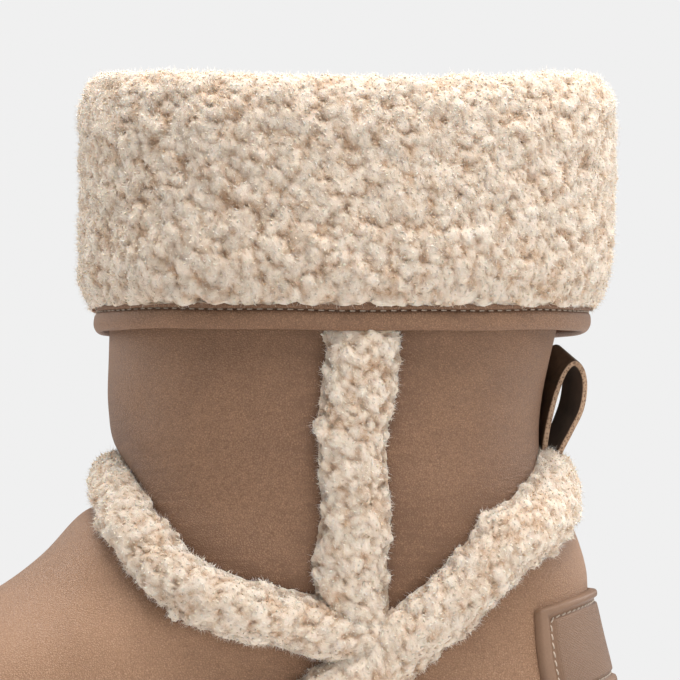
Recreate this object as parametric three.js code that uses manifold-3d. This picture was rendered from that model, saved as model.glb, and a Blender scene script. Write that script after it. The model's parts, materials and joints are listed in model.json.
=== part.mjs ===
// A left sheepskin ankle boot with a turned-down fleece cuff and fleece bands crossed over the ankle, in millimetres.
// X runs from the heel to the toe, Y to the outer side and Z up. The origin is on the floor, in the middle of the
// heel's rest face.
import * as THREE from "three";
import { mergeVertices } from "three/addons/utils/BufferGeometryUtils.js";
import Module from "manifold-3d";

const wasm = await Module();
wasm.setup();

// The last and the leather
const footLength = 272;
const ballWidth = 99;
const lastCurve = 7;
const instepHeight = 107;
const wall = 2.4;
const gap = 0.3;

// The shaft
const collarHeight = 226;
const shaftDepth = 145;
const shaftWidth = 105;
const shaftBack = 8.5;

// The sole
const heelSeatHeight = 28;
const soleFlange = 4.6;
const rimRise = 5;
const rimWall = 2.6;
const lugDepth = 3.5;
const lugGap = 5;
const lugInset = 5;
const insoleThickness = 4.5;

// The fleece bands and side strips
const bandWidth = 22;
const bandHeight = 9.4;
const bandSink = 4.2;
const stripWidth = 22.5;
const stripHeight = 7.2;
const stripSink = 2.4;
const creaseReach = 7;
const tuftHeight = 1.6;

// The cuff and the leather that binds its edge
const cuffCrown = 11.5;
const cuffDrop = 61;
const cuffPile = 9.8;
const cuffClearance = 0.6;
const cuffTop = collarHeight + cuffCrown;
const cuffLipHeight = collarHeight - cuffDrop;
const cuffDip = 5.6;
const hemDip = 1.4;
const hemHug = 0.4;
const bindingHeight = 11;
const bindingThickness = 3.8;
const bindingStandOff = 1;

// The pull loop at the back seam, hung below the cuff's lip
const loopDrop = 12.5;
const loopHeight = 37;
const loopRootHeight = cuffLipHeight - loopDrop - loopHeight;
const loopReach = 11;
const strapWidth = 12;
const strapThickness = 1.6;
const loopLean = 3.4;

// The moulded heel patch, placed up from the heel seat
const patchRise = 53.5;
const patchTop = heelSeatHeight + patchRise;
const patchHeight = 29;
const patchReach = 24;
const patchFoot = 18.5;
const patchThickness = 1.5;
const patchBead = 0.9;
const patchBeadWidth = 3;
const patchDip = 0.26;

// How finely the curved pieces are faceted
const columnsPerSide = 16;
const bandAngles = [-38, 4, 38, 72, 108, 142, 176, 218];

// Height of the sole's top and bottom along the foot: lengths are shares of footLength, heights of heelSeatHeight.
const soleLine = [
  { along: -0.03, seat: 1.0, base: 0.09 },
  { along: 0.035, seat: 1.0, base: 0.0 },
  { along: 0.27, seat: 0.985, base: 0.0 },
  { along: 0.33, seat: 0.94, base: 0.11 },
  { along: 0.4, seat: 0.88, base: 0.17 },
  { along: 0.47, seat: 0.82, base: 0.13 },
  { along: 0.54, seat: 0.77, base: 0.0 },
  { along: 0.745, seat: 0.75, base: 0.0 },
  { along: 0.83, seat: 0.78, base: 0.05 },
  { along: 0.92, seat: 0.86, base: 0.19 },
  { along: 1.03, seat: 1.0, base: 0.42 },
];

// Half widths of the sole's plan on each side, as shares of half of ballWidth, before the heel and toe are rounded.
const plan = [
  { along: 0.0, outer: 0.74, inner: 0.74 },
  { along: 0.15, outer: 0.76, inner: 0.74 },
  { along: 0.3, outer: 0.79, inner: 0.7 },
  { along: 0.43, outer: 0.85, inner: 0.7 },
  { along: 0.56, outer: 0.95, inner: 0.83 },
  { along: 0.66, outer: 1.0, inner: 0.96 },
  { along: 0.75, outer: 0.98, inner: 1.0 },
  { along: 0.87, outer: 0.9, inner: 0.97 },
  { along: 1.0, outer: 0.82, inner: 0.92 },
];

// Sections of the foot, from the feather edge up to the instep. Lengths are shares of footLength, rises above the
// heel seat are shares of the rise to the instep, and widths are shares of ballWidth. The rounds are the shares of a
// section that its heel and toe ends take, plan is how far it follows the table above, and sag how far the sole line.
const footSections = [
  { back: 0.0045, backUp: 0.0, front: 0.994, frontUp: 0.0, width: 0.975, heelRound: 0.14, toeRound: 0.27, plan: 1.0, sag: 1.0 },
  { back: 0.0025, backUp: 0.07, front: 0.998, frontUp: 0.07, width: 0.985, heelRound: 0.14, toeRound: 0.27, plan: 1.0, sag: 1.0 },
  { back: 0.0, backUp: 0.152, front: 1.0, frontUp: 0.17, width: 1.0, heelRound: 0.14, toeRound: 0.27, plan: 1.0, sag: 0.95 },
  { back: 0.002, backUp: 0.24, front: 0.988, frontUp: 0.275, width: 1.0, heelRound: 0.145, toeRound: 0.28, plan: 0.97, sag: 0.8 },
  { back: 0.0065, backUp: 0.323, front: 0.955, frontUp: 0.37, width: 0.98, heelRound: 0.15, toeRound: 0.3, plan: 0.9, sag: 0.65 },
  { back: 0.012, backUp: 0.405, front: 0.897, frontUp: 0.45, width: 0.955, heelRound: 0.16, toeRound: 0.34, plan: 0.8, sag: 0.5 },
  { back: 0.018, backUp: 0.487, front: 0.822, frontUp: 0.53, width: 0.935, heelRound: 0.18, toeRound: 0.38, plan: 0.7, sag: 0.36 },
  { back: 0.0235, backUp: 0.57, front: 0.75, frontUp: 0.6, width: 0.93, heelRound: 0.21, toeRound: 0.42, plan: 0.6, sag: 0.24 },
  { back: 0.029, backUp: 0.658, front: 0.689, frontUp: 0.692, width: 0.93, heelRound: 0.25, toeRound: 0.45, plan: 0.5, sag: 0.14 },
  { back: 0.031, backUp: 0.747, front: 0.64, frontUp: 0.81, width: 0.935, heelRound: 0.3, toeRound: 0.47, plan: 0.38, sag: 0.07 },
  { back: 0.0375, backUp: 0.835, front: 0.606, frontUp: 0.932, width: 0.945, heelRound: 0.36, toeRound: 0.49, plan: 0.25, sag: 0.02 },
  { back: 0.0475, backUp: 0.924, front: 0.582, frontUp: 1.015, width: 0.955, heelRound: 0.42, toeRound: 0.5, plan: 0.15, sag: 0.0 },
  { back: 0.0625, backUp: 1.01, front: 0.5685, frontUp: 1.075, width: 0.965, heelRound: 0.46, toeRound: 0.5, plan: 0.07, sag: 0.0 },
];

// Sections of the shaft. Ups are shares of the rise from the instep to the collar, insets are measured in from the
// collar's back and front as shares of shaftDepth, and widths are shares of shaftWidth.
const shaftSections = [
  { backUp: 0.067, frontUp: 0.1, backIn: 0.081, frontIn: 0.003, width: 0.92 },
  { backUp: 0.126, frontUp: 0.151, backIn: 0.0945, frontIn: 0.005, width: 0.93 },
  { backUp: 0.193, frontUp: 0.21, backIn: 0.0985, frontIn: 0.001, width: 0.94 },
  { backUp: 0.277, frontUp: 0.282, backIn: 0.0915, frontIn: -0.003, width: 0.95 },
  { backUp: 0.378, frontUp: 0.378, backIn: 0.0745, frontIn: -0.001, width: 0.965 },
  { backUp: 0.496, frontUp: 0.496, backIn: 0.0515, frontIn: 0.001, width: 0.98 },
  { backUp: 0.656, frontUp: 0.656, backIn: 0.0275, frontIn: 0.001, width: 0.99 },
  { backUp: 0.83, frontUp: 0.83, backIn: 0.01, frontIn: 0.001, width: 1.0 },
  { backUp: 1.0, frontUp: 1.0, backIn: 0.0, frontIn: 0.0, width: 1.0 },
];

// Centre lines of the bands on the outer side, from the centre plane outwards. Along is a share of footLength, up of
// instepHeight and width of bandWidth; lift and crease are shares of bandHeight.
const rearBandLine = [
  { along: 0.068, up: 1.06, lift: 0.0, crease: 0.5, width: 1.05 },
  { along: 0.112, up: 0.932, lift: 0.02, crease: 0.42, width: 1.0 },
  { along: 0.148, up: 0.853, lift: 0.0, crease: 0.34, width: 0.96 },
  { along: 0.189, up: 0.748, lift: 0.0, crease: 0.3, width: 0.95 },
  { along: 0.233, up: 0.655, lift: 0.05, crease: 0.28, width: 0.96 },
  { along: 0.299, up: 0.515, lift: 0.0, crease: 0.2, width: 1.0 },
  { along: 0.379, up: 0.37, lift: -0.1, crease: 0.12, width: 1.0 },
  { along: 0.463, up: 0.22, lift: -0.2, crease: 0.05, width: 1.0 },
];
const frontBandLine = [
  { along: 0.565, up: 1.075, lift: -0.36, crease: 0.95, width: 0.8 },
  { along: 0.538, up: 0.938, lift: -0.2, crease: 0.75, width: 0.88 },
  { along: 0.485, up: 0.793, lift: -0.08, crease: 0.45, width: 0.88 },
  { along: 0.414, up: 0.717, lift: 0.0, crease: 0.32, width: 0.85 },
  { along: 0.343, up: 0.675, lift: 0.0, crease: 0.3, width: 0.88 },
  { along: 0.28, up: 0.622, lift: -0.1, crease: 0.3, width: 0.92 },
  { along: 0.245, up: 0.595, lift: -0.2, crease: 0.3, width: 0.92 },
];

// Centre line of a side strip, down from under the cuff, in the same shares, with width a share of stripWidth.
const stripLine = [
  { along: 0.2915, up: 1.56, lift: -0.5, crease: 0.2, width: 0.9 },
  { along: 0.2915, up: 1.48, lift: -0.2, crease: 0.26, width: 0.97 },
  { along: 0.292, up: 1.38, lift: 0.0, crease: 0.28, width: 1.0 },
  { along: 0.3015, up: 1.12, lift: 0.0, crease: 0.28, width: 0.95 },
  { along: 0.302, up: 0.9, lift: 0.0, crease: 0.28, width: 0.98 },
  { along: 0.3, up: 0.73, lift: 0.0, crease: 0.26, width: 1.02 },
  { along: 0.3, up: 0.64, lift: 0.0, crease: 0.2, width: 1.02 },
];

// The cuff's closed profile, from its lower inner corner up inside the flap, round the collar and back down outside.
// Out is measured from the collar's leather and up from the lip to the top, the latter as a share. Where hug is 1 the
// profile keeps to the shaft, and where it is 0 it hangs straight down from the collar. Tuft says where locks stand.
const overCollar = (cuffDrop + cuffClearance) / (cuffDrop + cuffCrown);
const cuffProfile = [
  { out: bindingStandOff, up: 0.075, hug: hemHug, tuft: 0 },
  { out: 1.2, up: 0.45, hug: 0.5, tuft: 0 },
  { out: cuffClearance, up: overCollar - 0.05, hug: 1, tuft: 0 },
  { out: cuffClearance, up: overCollar, hug: 1, tuft: 0 },
  { out: -wall - cuffClearance, up: overCollar, hug: 1, tuft: 0 },
  { out: -wall - cuffClearance, up: 0.6, hug: 1, tuft: 0 },
  { out: -wall - cuffPile * 0.7, up: 0.6, hug: 1, tuft: 0.4 },
  { out: -wall - cuffPile * 0.86, up: 0.78, hug: 1, tuft: 1 },
  { out: -wall - cuffPile * 0.6, up: 0.94, hug: 1, tuft: 1 },
  { out: -wall * 0.5, up: 0.995, hug: 1, tuft: 1 },
  { out: cuffPile * 0.52, up: 0.985, hug: 0.5, tuft: 1 },
  { out: cuffPile * 0.9, up: 0.91, hug: 0, tuft: 1 },
  { out: cuffPile, up: 0.77, hug: 0.05, tuft: 1 },
  { out: cuffPile * 0.98, up: 0.6, hug: 0.1, tuft: 1 },
  { out: cuffPile * 0.97, up: 0.43, hug: 0.16, tuft: 1 },
  { out: cuffPile, up: 0.26, hug: 0.24, tuft: 1 },
  { out: cuffPile * 0.95, up: 0.1, hug: hemHug, tuft: 1 },
  { out: bindingStandOff + bindingThickness + gap, up: 0, hug: hemHug, tuft: 0 },
  { out: bindingStandOff + bindingThickness + gap, up: 0.075, hug: hemHug, tuft: 0 },
];

// The binding's closed profile: in from its inner face as a share of its thickness, down from its top of its height.
const bindingProfile = [
  { across: 0.0, down: 0.0 },
  { across: 0.0, down: 0.86 },
  { across: 0.3, down: 1.0 },
  { across: 0.75, down: 0.98 },
  { across: 1.0, down: 0.84 },
  { across: 1.0, down: 0.36 },
  { across: 0.84, down: 0.3 },
  { across: 0.84, down: 0.0 },
];

// The pull loop's middle line behind the leather, as shares of its reach and height, and how far it leans.
const loopLine = [
  { back: 0.02, up: 0.0, lean: 0.0 },
  { back: 0.03, up: 0.25, lean: 0.05 },
  { back: 0.09, up: 0.5, lean: 0.3 },
  { back: 0.22, up: 0.72, lean: 0.7 },
  { back: 0.45, up: 0.92, lean: 1.0 },
  { back: 0.72, up: 1.0, lean: 1.0 },
  { back: 0.94, up: 0.93, lean: 0.9 },
  { back: 1.0, up: 0.78, lean: 0.7 },
  { back: 0.9, up: 0.58, lean: 0.45 },
  { back: 0.62, up: 0.38, lean: 0.2 },
  { back: 0.34, up: 0.18, lean: 0.05 },
  { back: 0.22, up: 0.0, lean: 0.0 },
];

// The sole's side, from the rim down: out is a share of soleFlange and down a share of the way to the base.
const soleSide = [
  { out: 0.86, down: 0.0 },
  { out: 1.0, down: 0.06 },
  { out: 1.0, down: 0.3 },
  { out: 0.72, down: 0.36 },
  { out: 0.96, down: 0.46 },
  { out: 1.08, down: 0.72 },
  { out: 0.98, down: 0.9 },
];

// Rows of lugs between two shares of footLength. The whole one of a row isn't split by the middle channel.
const heelLugs = { from: 0.035, to: 0.245, count: 5, whole: 2 };
const foreLugs = { from: 0.555, to: 0.745, count: 4, whole: 1 };
const toeLugs = { from: 0.765, to: 0.955, count: 4, whole: -1 };

const leather = new THREE.MeshStandardMaterial({ color: 0x8c705b, roughness: 0.7, metalness: 0 });
const fleece = new THREE.MeshStandardMaterial({ color: 0xe0d2c2, roughness: 1, metalness: 0 });
const rubber = new THREE.MeshStandardMaterial({ color: 0x8f7462, roughness: 0.6, metalness: 0 });
const darkLeather = new THREE.MeshStandardMaterial({ color: 0x3b2e25, roughness: 0.35, metalness: 0 });

// The value of a table's column at a key, on a smooth curve through the rows.
function follow(table, key, column, at) {
  const last = table.length - 1;
  let i = 0;
  while (i < last - 1 && table[i + 1][key] < at) i++;
  const from = table[i];
  const to = table[i + 1];
  const span = to[key] - from[key];
  const slope = (j) => {
    const before = table[Math.max(j - 1, 0)];
    const after = table[Math.min(j + 1, last)];
    return (after[column] - before[column]) / (after[key] - before[key]);
  };
  const t = Math.min(Math.max((at - from[key]) / span, 0), 1);
  const ease = t * t * (3 - 2 * t);
  const bend = t * (1 - t) * span;
  return from[column] * (1 - ease) + to[column] * ease + bend * ((1 - t) * slope(i) - t * slope(i + 1));
}

const numbered = (table) => table.map((row, order) => ({ ...row, order }));
const mix = (a, b, share) => a + (b - a) * share;
const seatHeight = (x) => heelSeatHeight * follow(soleLine, "along", "seat", x / footLength);
const baseHeight = (x) => heelSeatHeight * Math.max(follow(soleLine, "along", "base", x / footLength), 0);

// All sections of the leather's smooth outer form, from the feather edge to the collar, in millimetres.
const instepRise = instepHeight - heelSeatHeight;
const collarRise = collarHeight - instepHeight;
const sections = numbered([
  ...footSections.map((row) => ({
    backX: row.back * footLength,
    backZ: heelSeatHeight + row.backUp * instepRise,
    frontX: row.front * footLength,
    frontZ: heelSeatHeight + row.frontUp * instepRise,
    half: (row.width * ballWidth) / 2,
    heelRound: row.heelRound,
    toeRound: row.toeRound,
    plan: row.plan,
    sag: row.sag,
  })),
  ...shaftSections.map((row) => ({
    backX: shaftBack + row.backIn * shaftDepth,
    backZ: instepHeight + row.backUp * collarRise,
    frontX: shaftBack + (1 - row.frontIn) * shaftDepth,
    frontZ: instepHeight + row.frontUp * collarRise,
    half: (row.width * shaftWidth) / 2,
    heelRound: 0.5,
    toeRound: 0.5,
    plan: 0,
    sag: 0,
  })),
]);
const collarRow = sections.length - 1;
const sectionColumns = Object.keys(sections[0]).filter((name) => name !== "order");

function sectionAt(row) {
  return Object.fromEntries(sectionColumns.map((name) => [name, follow(sections, "order", name, row)]));
}

// Share of the half width that is left near a section's rounded heel and toe ends.
const endPower = 2.15;
function endRound(along, heelRound, toeRound) {
  const past = Math.max(1 - along / heelRound, 1 - (1 - along) / toeRound, 0);
  return Math.pow(Math.max(1 - Math.pow(past, endPower), 0), 1 / endPower);
}

// A point of the smooth outer form. Turn is 0 at the back and half a turn at the front, and goes by the outer side.
function hull(row, turn) {
  const c = sectionAt(row);
  const along = (1 - Math.cos(turn)) / 2;
  const outer = Math.sin(turn) >= 0;
  const x = mix(c.backX, c.frontX, along);
  const planShare = mix(1, follow(plan, "along", outer ? "outer" : "inner", along), c.plan);
  const half = c.half * planShare * endRound(along, c.heelRound, c.toeRound);
  const y = (outer ? half : -half) - lastCurve * c.plan * Math.pow(x / footLength, 2);
  const level = mix(c.backZ, c.frontZ, along) + c.sag * (seatHeight(x) - heelSeatHeight);
  return new THREE.Vector3(x, y, level - sideDip(level, turn));
}

// How far the collar and what hangs on it dip towards the sides.
function sideDip(height, turn) {
  const inCuff = (height - cuffLipHeight) / (cuffTop - cuffLipHeight);
  const below = (height - instepHeight) / (cuffLipHeight - instepHeight);
  const depth = inCuff > 0 ? mix(hemDip, cuffDip, inCuff * inCuff) : hemDip * Math.max(below, 0);
  return depth * Math.pow(Math.sin(turn), 2);
}

// The outward direction of the smooth form, from two short steps along it.
const shortStep = 0.02;
function outward(row, turn) {
  const low = Math.max(row - shortStep, 0);
  const high = Math.min(row + shortStep, collarRow);
  const round = hull(row, turn + shortStep).sub(hull(row, turn - shortStep));
  const rise = hull(high, turn).sub(hull(low, turn));
  return round.cross(rise).normalize().negate();
}

// The row and turn of the outer side's point that has the given place in the side view.
function locate(x, z) {
  let low = 0;
  let high = collarRow;
  let turn = 0;
  for (let i = 0; i < 30; i++) {
    const row = (low + high) / 2;
    const c = sectionAt(row);
    const along = Math.min(Math.max((x - c.backX) / (c.frontX - c.backX), 0), 1);
    turn = Math.acos(1 - 2 * along);
    if (hull(row, turn).z < z) low = row;
    else high = row;
  }
  return { row: (low + high) / 2, turn };
}

// A line on the form as rows, turns, lifts and creases, all the way round from the inner end to the outer end.
// A line that starts on the centre plane is mirrored there; centre is that plane's turn.
function lineOnForm(table, side, centre) {
  const places = table.map((row, i) => {
    const place = locate(row.along * footLength, row.up * instepHeight);
    const onCentre = centre !== undefined && i === 0;
    return { ...row, row: place.row, turn: onCentre ? centre : place.turn * side };
  });
  if (centre === undefined) return numbered(places);
  const mirrored = places.slice(1).reverse().map((place) => ({ ...place, turn: 2 * centre - place.turn }));
  return numbered([...mirrored, ...places]);
}

const rearBandPath = lineOnForm(rearBandLine, 1, 0);
const frontBandPath = lineOnForm(frontBandLine, 1, Math.PI);
const outerStripPath = lineOnForm(stripLine, 1);
const innerStripPath = lineOnForm(stripLine, -1);

function pathPoint(path, order) {
  const at = Object.fromEntries(
    Object.keys(path[0]).map((name) => [name, name === "order" ? order : follow(path, "order", name, order)]),
  );
  return { ...at, point: hull(at.row, at.turn), normal: outward(at.row, at.turn) };
}

// Evenly spaced places along a path.
function evenly(path, count) {
  const fine = 12 * (path.length - 1);
  const dense = Array.from({ length: fine + 1 }, (_, i) => pathPoint(path, (i / fine) * (path.length - 1)));
  const run = [0];
  for (let i = 1; i <= fine; i++) run.push(run[i - 1] + dense[i].point.distanceTo(dense[i - 1].point));
  return Array.from({ length: count + 1 }, (_, k) => {
    const target = (k / count) * run[fine];
    let i = 1;
    while (i < fine && run[i] < target) i++;
    const share = (target - run[i - 1]) / (run[i] - run[i - 1]);
    return pathPoint(path, ((i - 1 + share) / fine) * (path.length - 1));
  });
}

// The leather is drawn in under each band and strip.
const creaseSteps = 60;
const creaseLines = [rearBandPath, frontBandPath, outerStripPath, innerStripPath].map((path) => evenly(path, creaseSteps));

function creaseDepth(point) {
  let depth = 0;
  for (const line of creaseLines)
    for (const place of line) {
      const away = point.distanceTo(place.point) / creaseReach;
      depth = Math.max(depth, place.crease * bandHeight * Math.exp(-away * away));
    }
  return depth;
}

// A point of the leather itself, moved out of its outer face by the given distance.
function leatherPoint(row, turn, out) {
  const point = hull(row, turn);
  return point.addScaledVector(outward(row, turn), out - creaseDepth(point));
}

// A closed solid from rings of as many points each. Its ends are joined to each other or closed by a cap.
function solidFromRings(rings, cap) {
  const count = rings[0].length;
  const positions = rings.flat().flatMap((p) => [p.x, p.y, p.z]);
  const faces = [];
  const turns = cap ? rings.length - 1 : rings.length;
  for (let i = 0; i < turns; i++)
    for (let j = 0; j < count; j++) {
      const a = i * count + j;
      const b = i * count + ((j + 1) % count);
      const c = ((i + 1) % rings.length) * count + ((j + 1) % count);
      const d = ((i + 1) % rings.length) * count + j;
      faces.push(a, b, c, a, c, d);
    }
  if (cap) faces.push(...cap(count, 0, false), ...cap(count, (rings.length - 1) * count, true));
  const geometry = new THREE.BufferGeometry();
  geometry.setAttribute("position", new THREE.Float32BufferAttribute(positions, 3));
  geometry.setIndex(faces);
  return solidOf(geometry);
}

// A cap of cross pieces, for a ring whose two sides mirror each other about the centre plane.
function ladderCap(count, first, flip) {
  const faces = [];
  const add = (a, b, c) => faces.push(...(flip ? [a, b, c] : [a, c, b]).map((i) => first + i));
  const last = count / 2;
  add(0, 1, count - 1);
  for (let j = 1; j < last - 1; j++) {
    add(j, j + 1, count - j - 1);
    add(j, count - j - 1, count - j);
  }
  add(last - 1, last, last + 1);
  return faces;
}

// A cap that fans out from the ring's first point.
function fanCap(count, first, flip) {
  const faces = [];
  for (let j = 1; j < count - 1; j++) faces.push(...(flip ? [0, j, j + 1] : [0, j + 1, j]).map((i) => first + i));
  return faces;
}

function solidOf(geometry) {
  const merged = mergeVertices(geometry, 1e-3);
  const vertProperties = new Float32Array(merged.attributes.position.array);
  const triVerts = new Uint32Array(merged.index.array);
  const solid = new wasm.Manifold(new wasm.Mesh({ numProp: 3, vertProperties, triVerts }));
  if (solid.volume() > 0) return solid;
  return new wasm.Manifold(new wasm.Mesh({ numProp: 3, vertProperties, triVerts: triVerts.reverse() }));
}

// The largest piece of a solid, without the slivers that a cut can leave.
function mainPiece(solid) {
  return solid.decompose().reduce((best, piece) => (piece.volume() > best.volume() ? piece : best));
}

function meshOf(name, solid, material) {
  const made = solid.getMesh();
  const positions = new Float32Array(made.numVert * 3);
  for (let i = 0; i < made.numVert; i++) {
    positions.set(made.vertProperties.subarray(i * made.numProp, i * made.numProp + 3), i * 3);
  }
  const geometry = new THREE.BufferGeometry();
  geometry.setAttribute("position", new THREE.BufferAttribute(positions, 3));
  geometry.setIndex(new THREE.BufferAttribute(made.triVerts, 1));
  const mesh = new THREE.Mesh(geometry, material);
  mesh.name = name;
  mesh.geometry.computeVertexNormals();
  return mesh;
}

const columns = 2 * columnsPerSide;
const turnsOf = (count) => Array.from({ length: count }, (_, j) => (2 * Math.PI * j) / count);

// The rows at which the leather is faceted, closer together at the toe, the vamp and the ankle crease.
const wholeRows = Array.from({ length: collarRow + 1 }, (_, row) => row);
const closeRows = wholeRows.filter((row) => row >= 5 && row < footSections.length).map((row) => row + 0.5);
const leatherRows = [...wholeRows, ...closeRows].sort((a, b) => a - b);

function buildUpper() {
  const turns = turnsOf(columns);
  const ring = (row, out) => turns.map((turn) => leatherPoint(row, turn, out));
  const outside = leatherRows.map((row) => ring(row, 0));
  const inside = leatherRows.map((row) => ring(row, -wall)).reverse();
  return solidFromRings([...outside, ...inside]);
}

// The leather's outer form as a filled solid, grown by the clearance that a piece lying on it keeps.
function leatherForm(clearance) {
  const turns = turnsOf(columns);
  return solidFromRings(
    leatherRows.map((row) => turns.map((turn) => leatherPoint(row, turn, clearance))),
    ladderCap,
  );
}

// The feather edge's plan, grown by a distance, at a height that follows the sole line.
function planRing(grown, heightAt) {
  return turnsOf(columns).map((turn) => {
    const point = hull(0, turn);
    const aside = outward(0, turn).setZ(0).normalize();
    point.addScaledVector(aside, grown);
    return point.setZ(heightAt(point.x));
  });
}

function buildSoleBody() {
  const rim = (x) => seatHeight(x) + rimRise;
  const body = (x) => baseHeight(x) + lugDepth;
  const seat = (x) => seatHeight(x) - gap;
  const side = soleSide.map((row) =>
    planRing(row.out * soleFlange, (x) => mix(rim(x), body(x), row.down)),
  );
  return solidFromRings(
    [
      planRing(rimClearance, seat),
      planRing(rimClearance, rim),
      planRing(rimClearance + rimWall * 0.6, (x) => rim(x) + rimCrown),
      ...side,
      planRing(soleFlange * 0.7, body),
    ],
    ladderCap,
  );
}
const rimClearance = gap + 0.9;
const rimCrown = 0.4;

// A lug across the sole between two places along it, on one side of the middle channel or on the other.
function lug(from, to, side) {
  const corners = [from, to].flatMap((x) =>
    [lugGap / 2, undefined].map((y) => {
      const edge = planHalf(x, side) - lugInset;
      return new THREE.Vector2(x, side * (y ?? edge) + swing(x));
    }),
  );
  const [a, b, d, c] = corners;
  const ring = (heightAt) => [a, b, c, d].map((p) => new THREE.Vector3(p.x, p.y, heightAt(p.x)));
  return solidFromRings([ring(baseHeight), ring((x) => baseHeight(x) + lugDepth + gap)], fanCap);
}

const swing = (x) => -lastCurve * Math.pow(x / footLength, 2);

// Half width of the sole's own edge at a place along the foot.
function planHalf(x, side) {
  const c = sectionAt(0);
  const along = Math.min(Math.max((x - c.backX) / (c.frontX - c.backX), 0), 1);
  const share = follow(plan, "along", side > 0 ? "outer" : "inner", along);
  return c.half * share * endRound(along, c.heelRound, c.toeRound) + soleFlange;
}

function lugRow(zone) {
  const pitch = ((zone.to - zone.from) * footLength + lugGap) / zone.count;
  const made = [];
  for (let i = 0; i < zone.count; i++) {
    const from = zone.from * footLength + i * pitch;
    const to = from + pitch - lugGap;
    made.push(lug(from, to, 1), lug(from, to, -1));
    if (i === zone.whole) made.push(lugBridge(from, to));
  }
  return made;
}

// Fills the channel between two lugs.
function lugBridge(from, to) {
  const half = lugGap / 2 + gap;
  const ring = (height) =>
    [
      [from, -half],
      [to, -half],
      [to, half],
      [from, half],
    ].map(([x, y]) => new THREE.Vector3(x, y + swing(x), height));
  return solidFromRings([ring(0), ring(lugDepth + gap)], fanCap);
}

function buildSole() {
  const lugs = [heelLugs, foreLugs, toeLugs].flatMap(lugRow);
  return mainPiece(lugs.reduce((sole, piece) => sole.add(piece), buildSoleBody()));
}

function buildInsole() {
  const edge = -wall - gap * 2;
  const lower = (x) => seatHeight(x) + gap / 2;
  const upper = (x) => lower(x) + insoleThickness;
  return solidFromRings(
    [
      planRing(edge, lower),
      planRing(edge, (x) => upper(x) - 1),
      planRing(edge - 1, upper),
    ],
    ladderCap,
  );
}

// Uneven height of the fleece from one lock to the next, between -1 and 1, the same each time.
function tuft(i, j) {
  const scattered = Math.sin(i * 12.9898 + j * 78.233) * 437.585;
  return ((i + j) % 2 ? 0.35 : -0.35) + 1.3 * (scattered - Math.floor(scattered) - 0.5);
}

// A fleece band: a rounded section carried along a path on the form, with locks standing out of its face.
function fleeceBand(path, steps, size) {
  const places = evenly(path, steps);
  const rings = places.map((place, i) => {
    const before = places[Math.max(i - 1, 0)].point;
    const after = places[Math.min(i + 1, steps)].point;
    const across = after.clone().sub(before).cross(place.normal).normalize();
    const centre = place.point.clone().addScaledVector(place.normal, place.lift * bandHeight);
    return bandAngles.map((degrees, j) => {
      const angle = THREE.MathUtils.degToRad(degrees);
      const rise = Math.sin(angle);
      const locks = rise > 0.1 ? tuftHeight * tuft(i, j) : 0;
      const wide = (size.width / 2 + size.grow) * (place.width ?? 1) * Math.cos(angle);
      const deep = rise * ((rise > 0 ? size.height : size.sink) + size.grow + locks);
      return centre.clone().addScaledVector(across, wide).addScaledVector(place.normal, deep);
    });
  });
  return solidFromRings(rings, fanCap);
}

const bandSize = { width: bandWidth, height: bandHeight, sink: bandSink, grow: 0 };
const stripSize = { width: stripWidth, height: stripHeight, sink: stripSink, grow: 0 };
const rearSteps = 30;
const frontSteps = 24;
const stripSteps = 10;

// Everything below the top of the sole's rim, for ending what runs down to it.
function belowRim() {
  const wide = ballWidth;
  const ends = soleLine.map((row) => row.along * footLength);
  const rings = ends.map((x) => {
    const top = seatHeight(x) + rimRise + rimCrown + gap;
    return [
      new THREE.Vector3(x, -wide, top),
      new THREE.Vector3(x, wide, top),
      new THREE.Vector3(x, wide, -heelSeatHeight),
      new THREE.Vector3(x, -wide, -heelSeatHeight),
    ];
  });
  return solidFromRings(rings, fanCap);
}

// The section of the cuff or binding at one profile row, all the way round the collar.
function collarRing(profileRow, height, ringNumber) {
  const shaftRow = locate(shaftBack + shaftDepth / 2, Math.min(height, collarHeight)).row;
  return turnsOf(columns).map((turn, j) => {
    const hang = hull(collarRow, turn);
    const base = hang.clone().lerp(hull(shaftRow, turn), profileRow.hug ?? 0);
    const aside = outward(collarRow, turn).setZ(0).normalize();
    const locks = (profileRow.tuft ?? 0) * tuftHeight * tuft(ringNumber, j);
    base.addScaledVector(aside, profileRow.out + locks);
    return base.setZ(height - sideDip(height, turn) + locks * 0.4 * (profileRow.hug ?? 0));
  });
}

function buildCuff() {
  const height = (row) => cuffLipHeight + row.up * (cuffTop - cuffLipHeight);
  return solidFromRings(cuffProfile.map((row, i) => collarRing(row, height(row), i)));
}

// The binding, or with a clearance the room that it takes.
function binding(clearance) {
  const top = cuffLipHeight + cuffProfile[0].up * (cuffTop - cuffLipHeight) - gap * 1.5 + clearance;
  return solidFromRings(
    bindingProfile.map((row, i) => {
      const out = bindingStandOff - clearance + row.across * (bindingThickness + 2 * clearance);
      return collarRing({ out, hug: hemHug }, top - row.down * (bindingHeight + 2 * clearance), i);
    }),
  );
}

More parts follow.
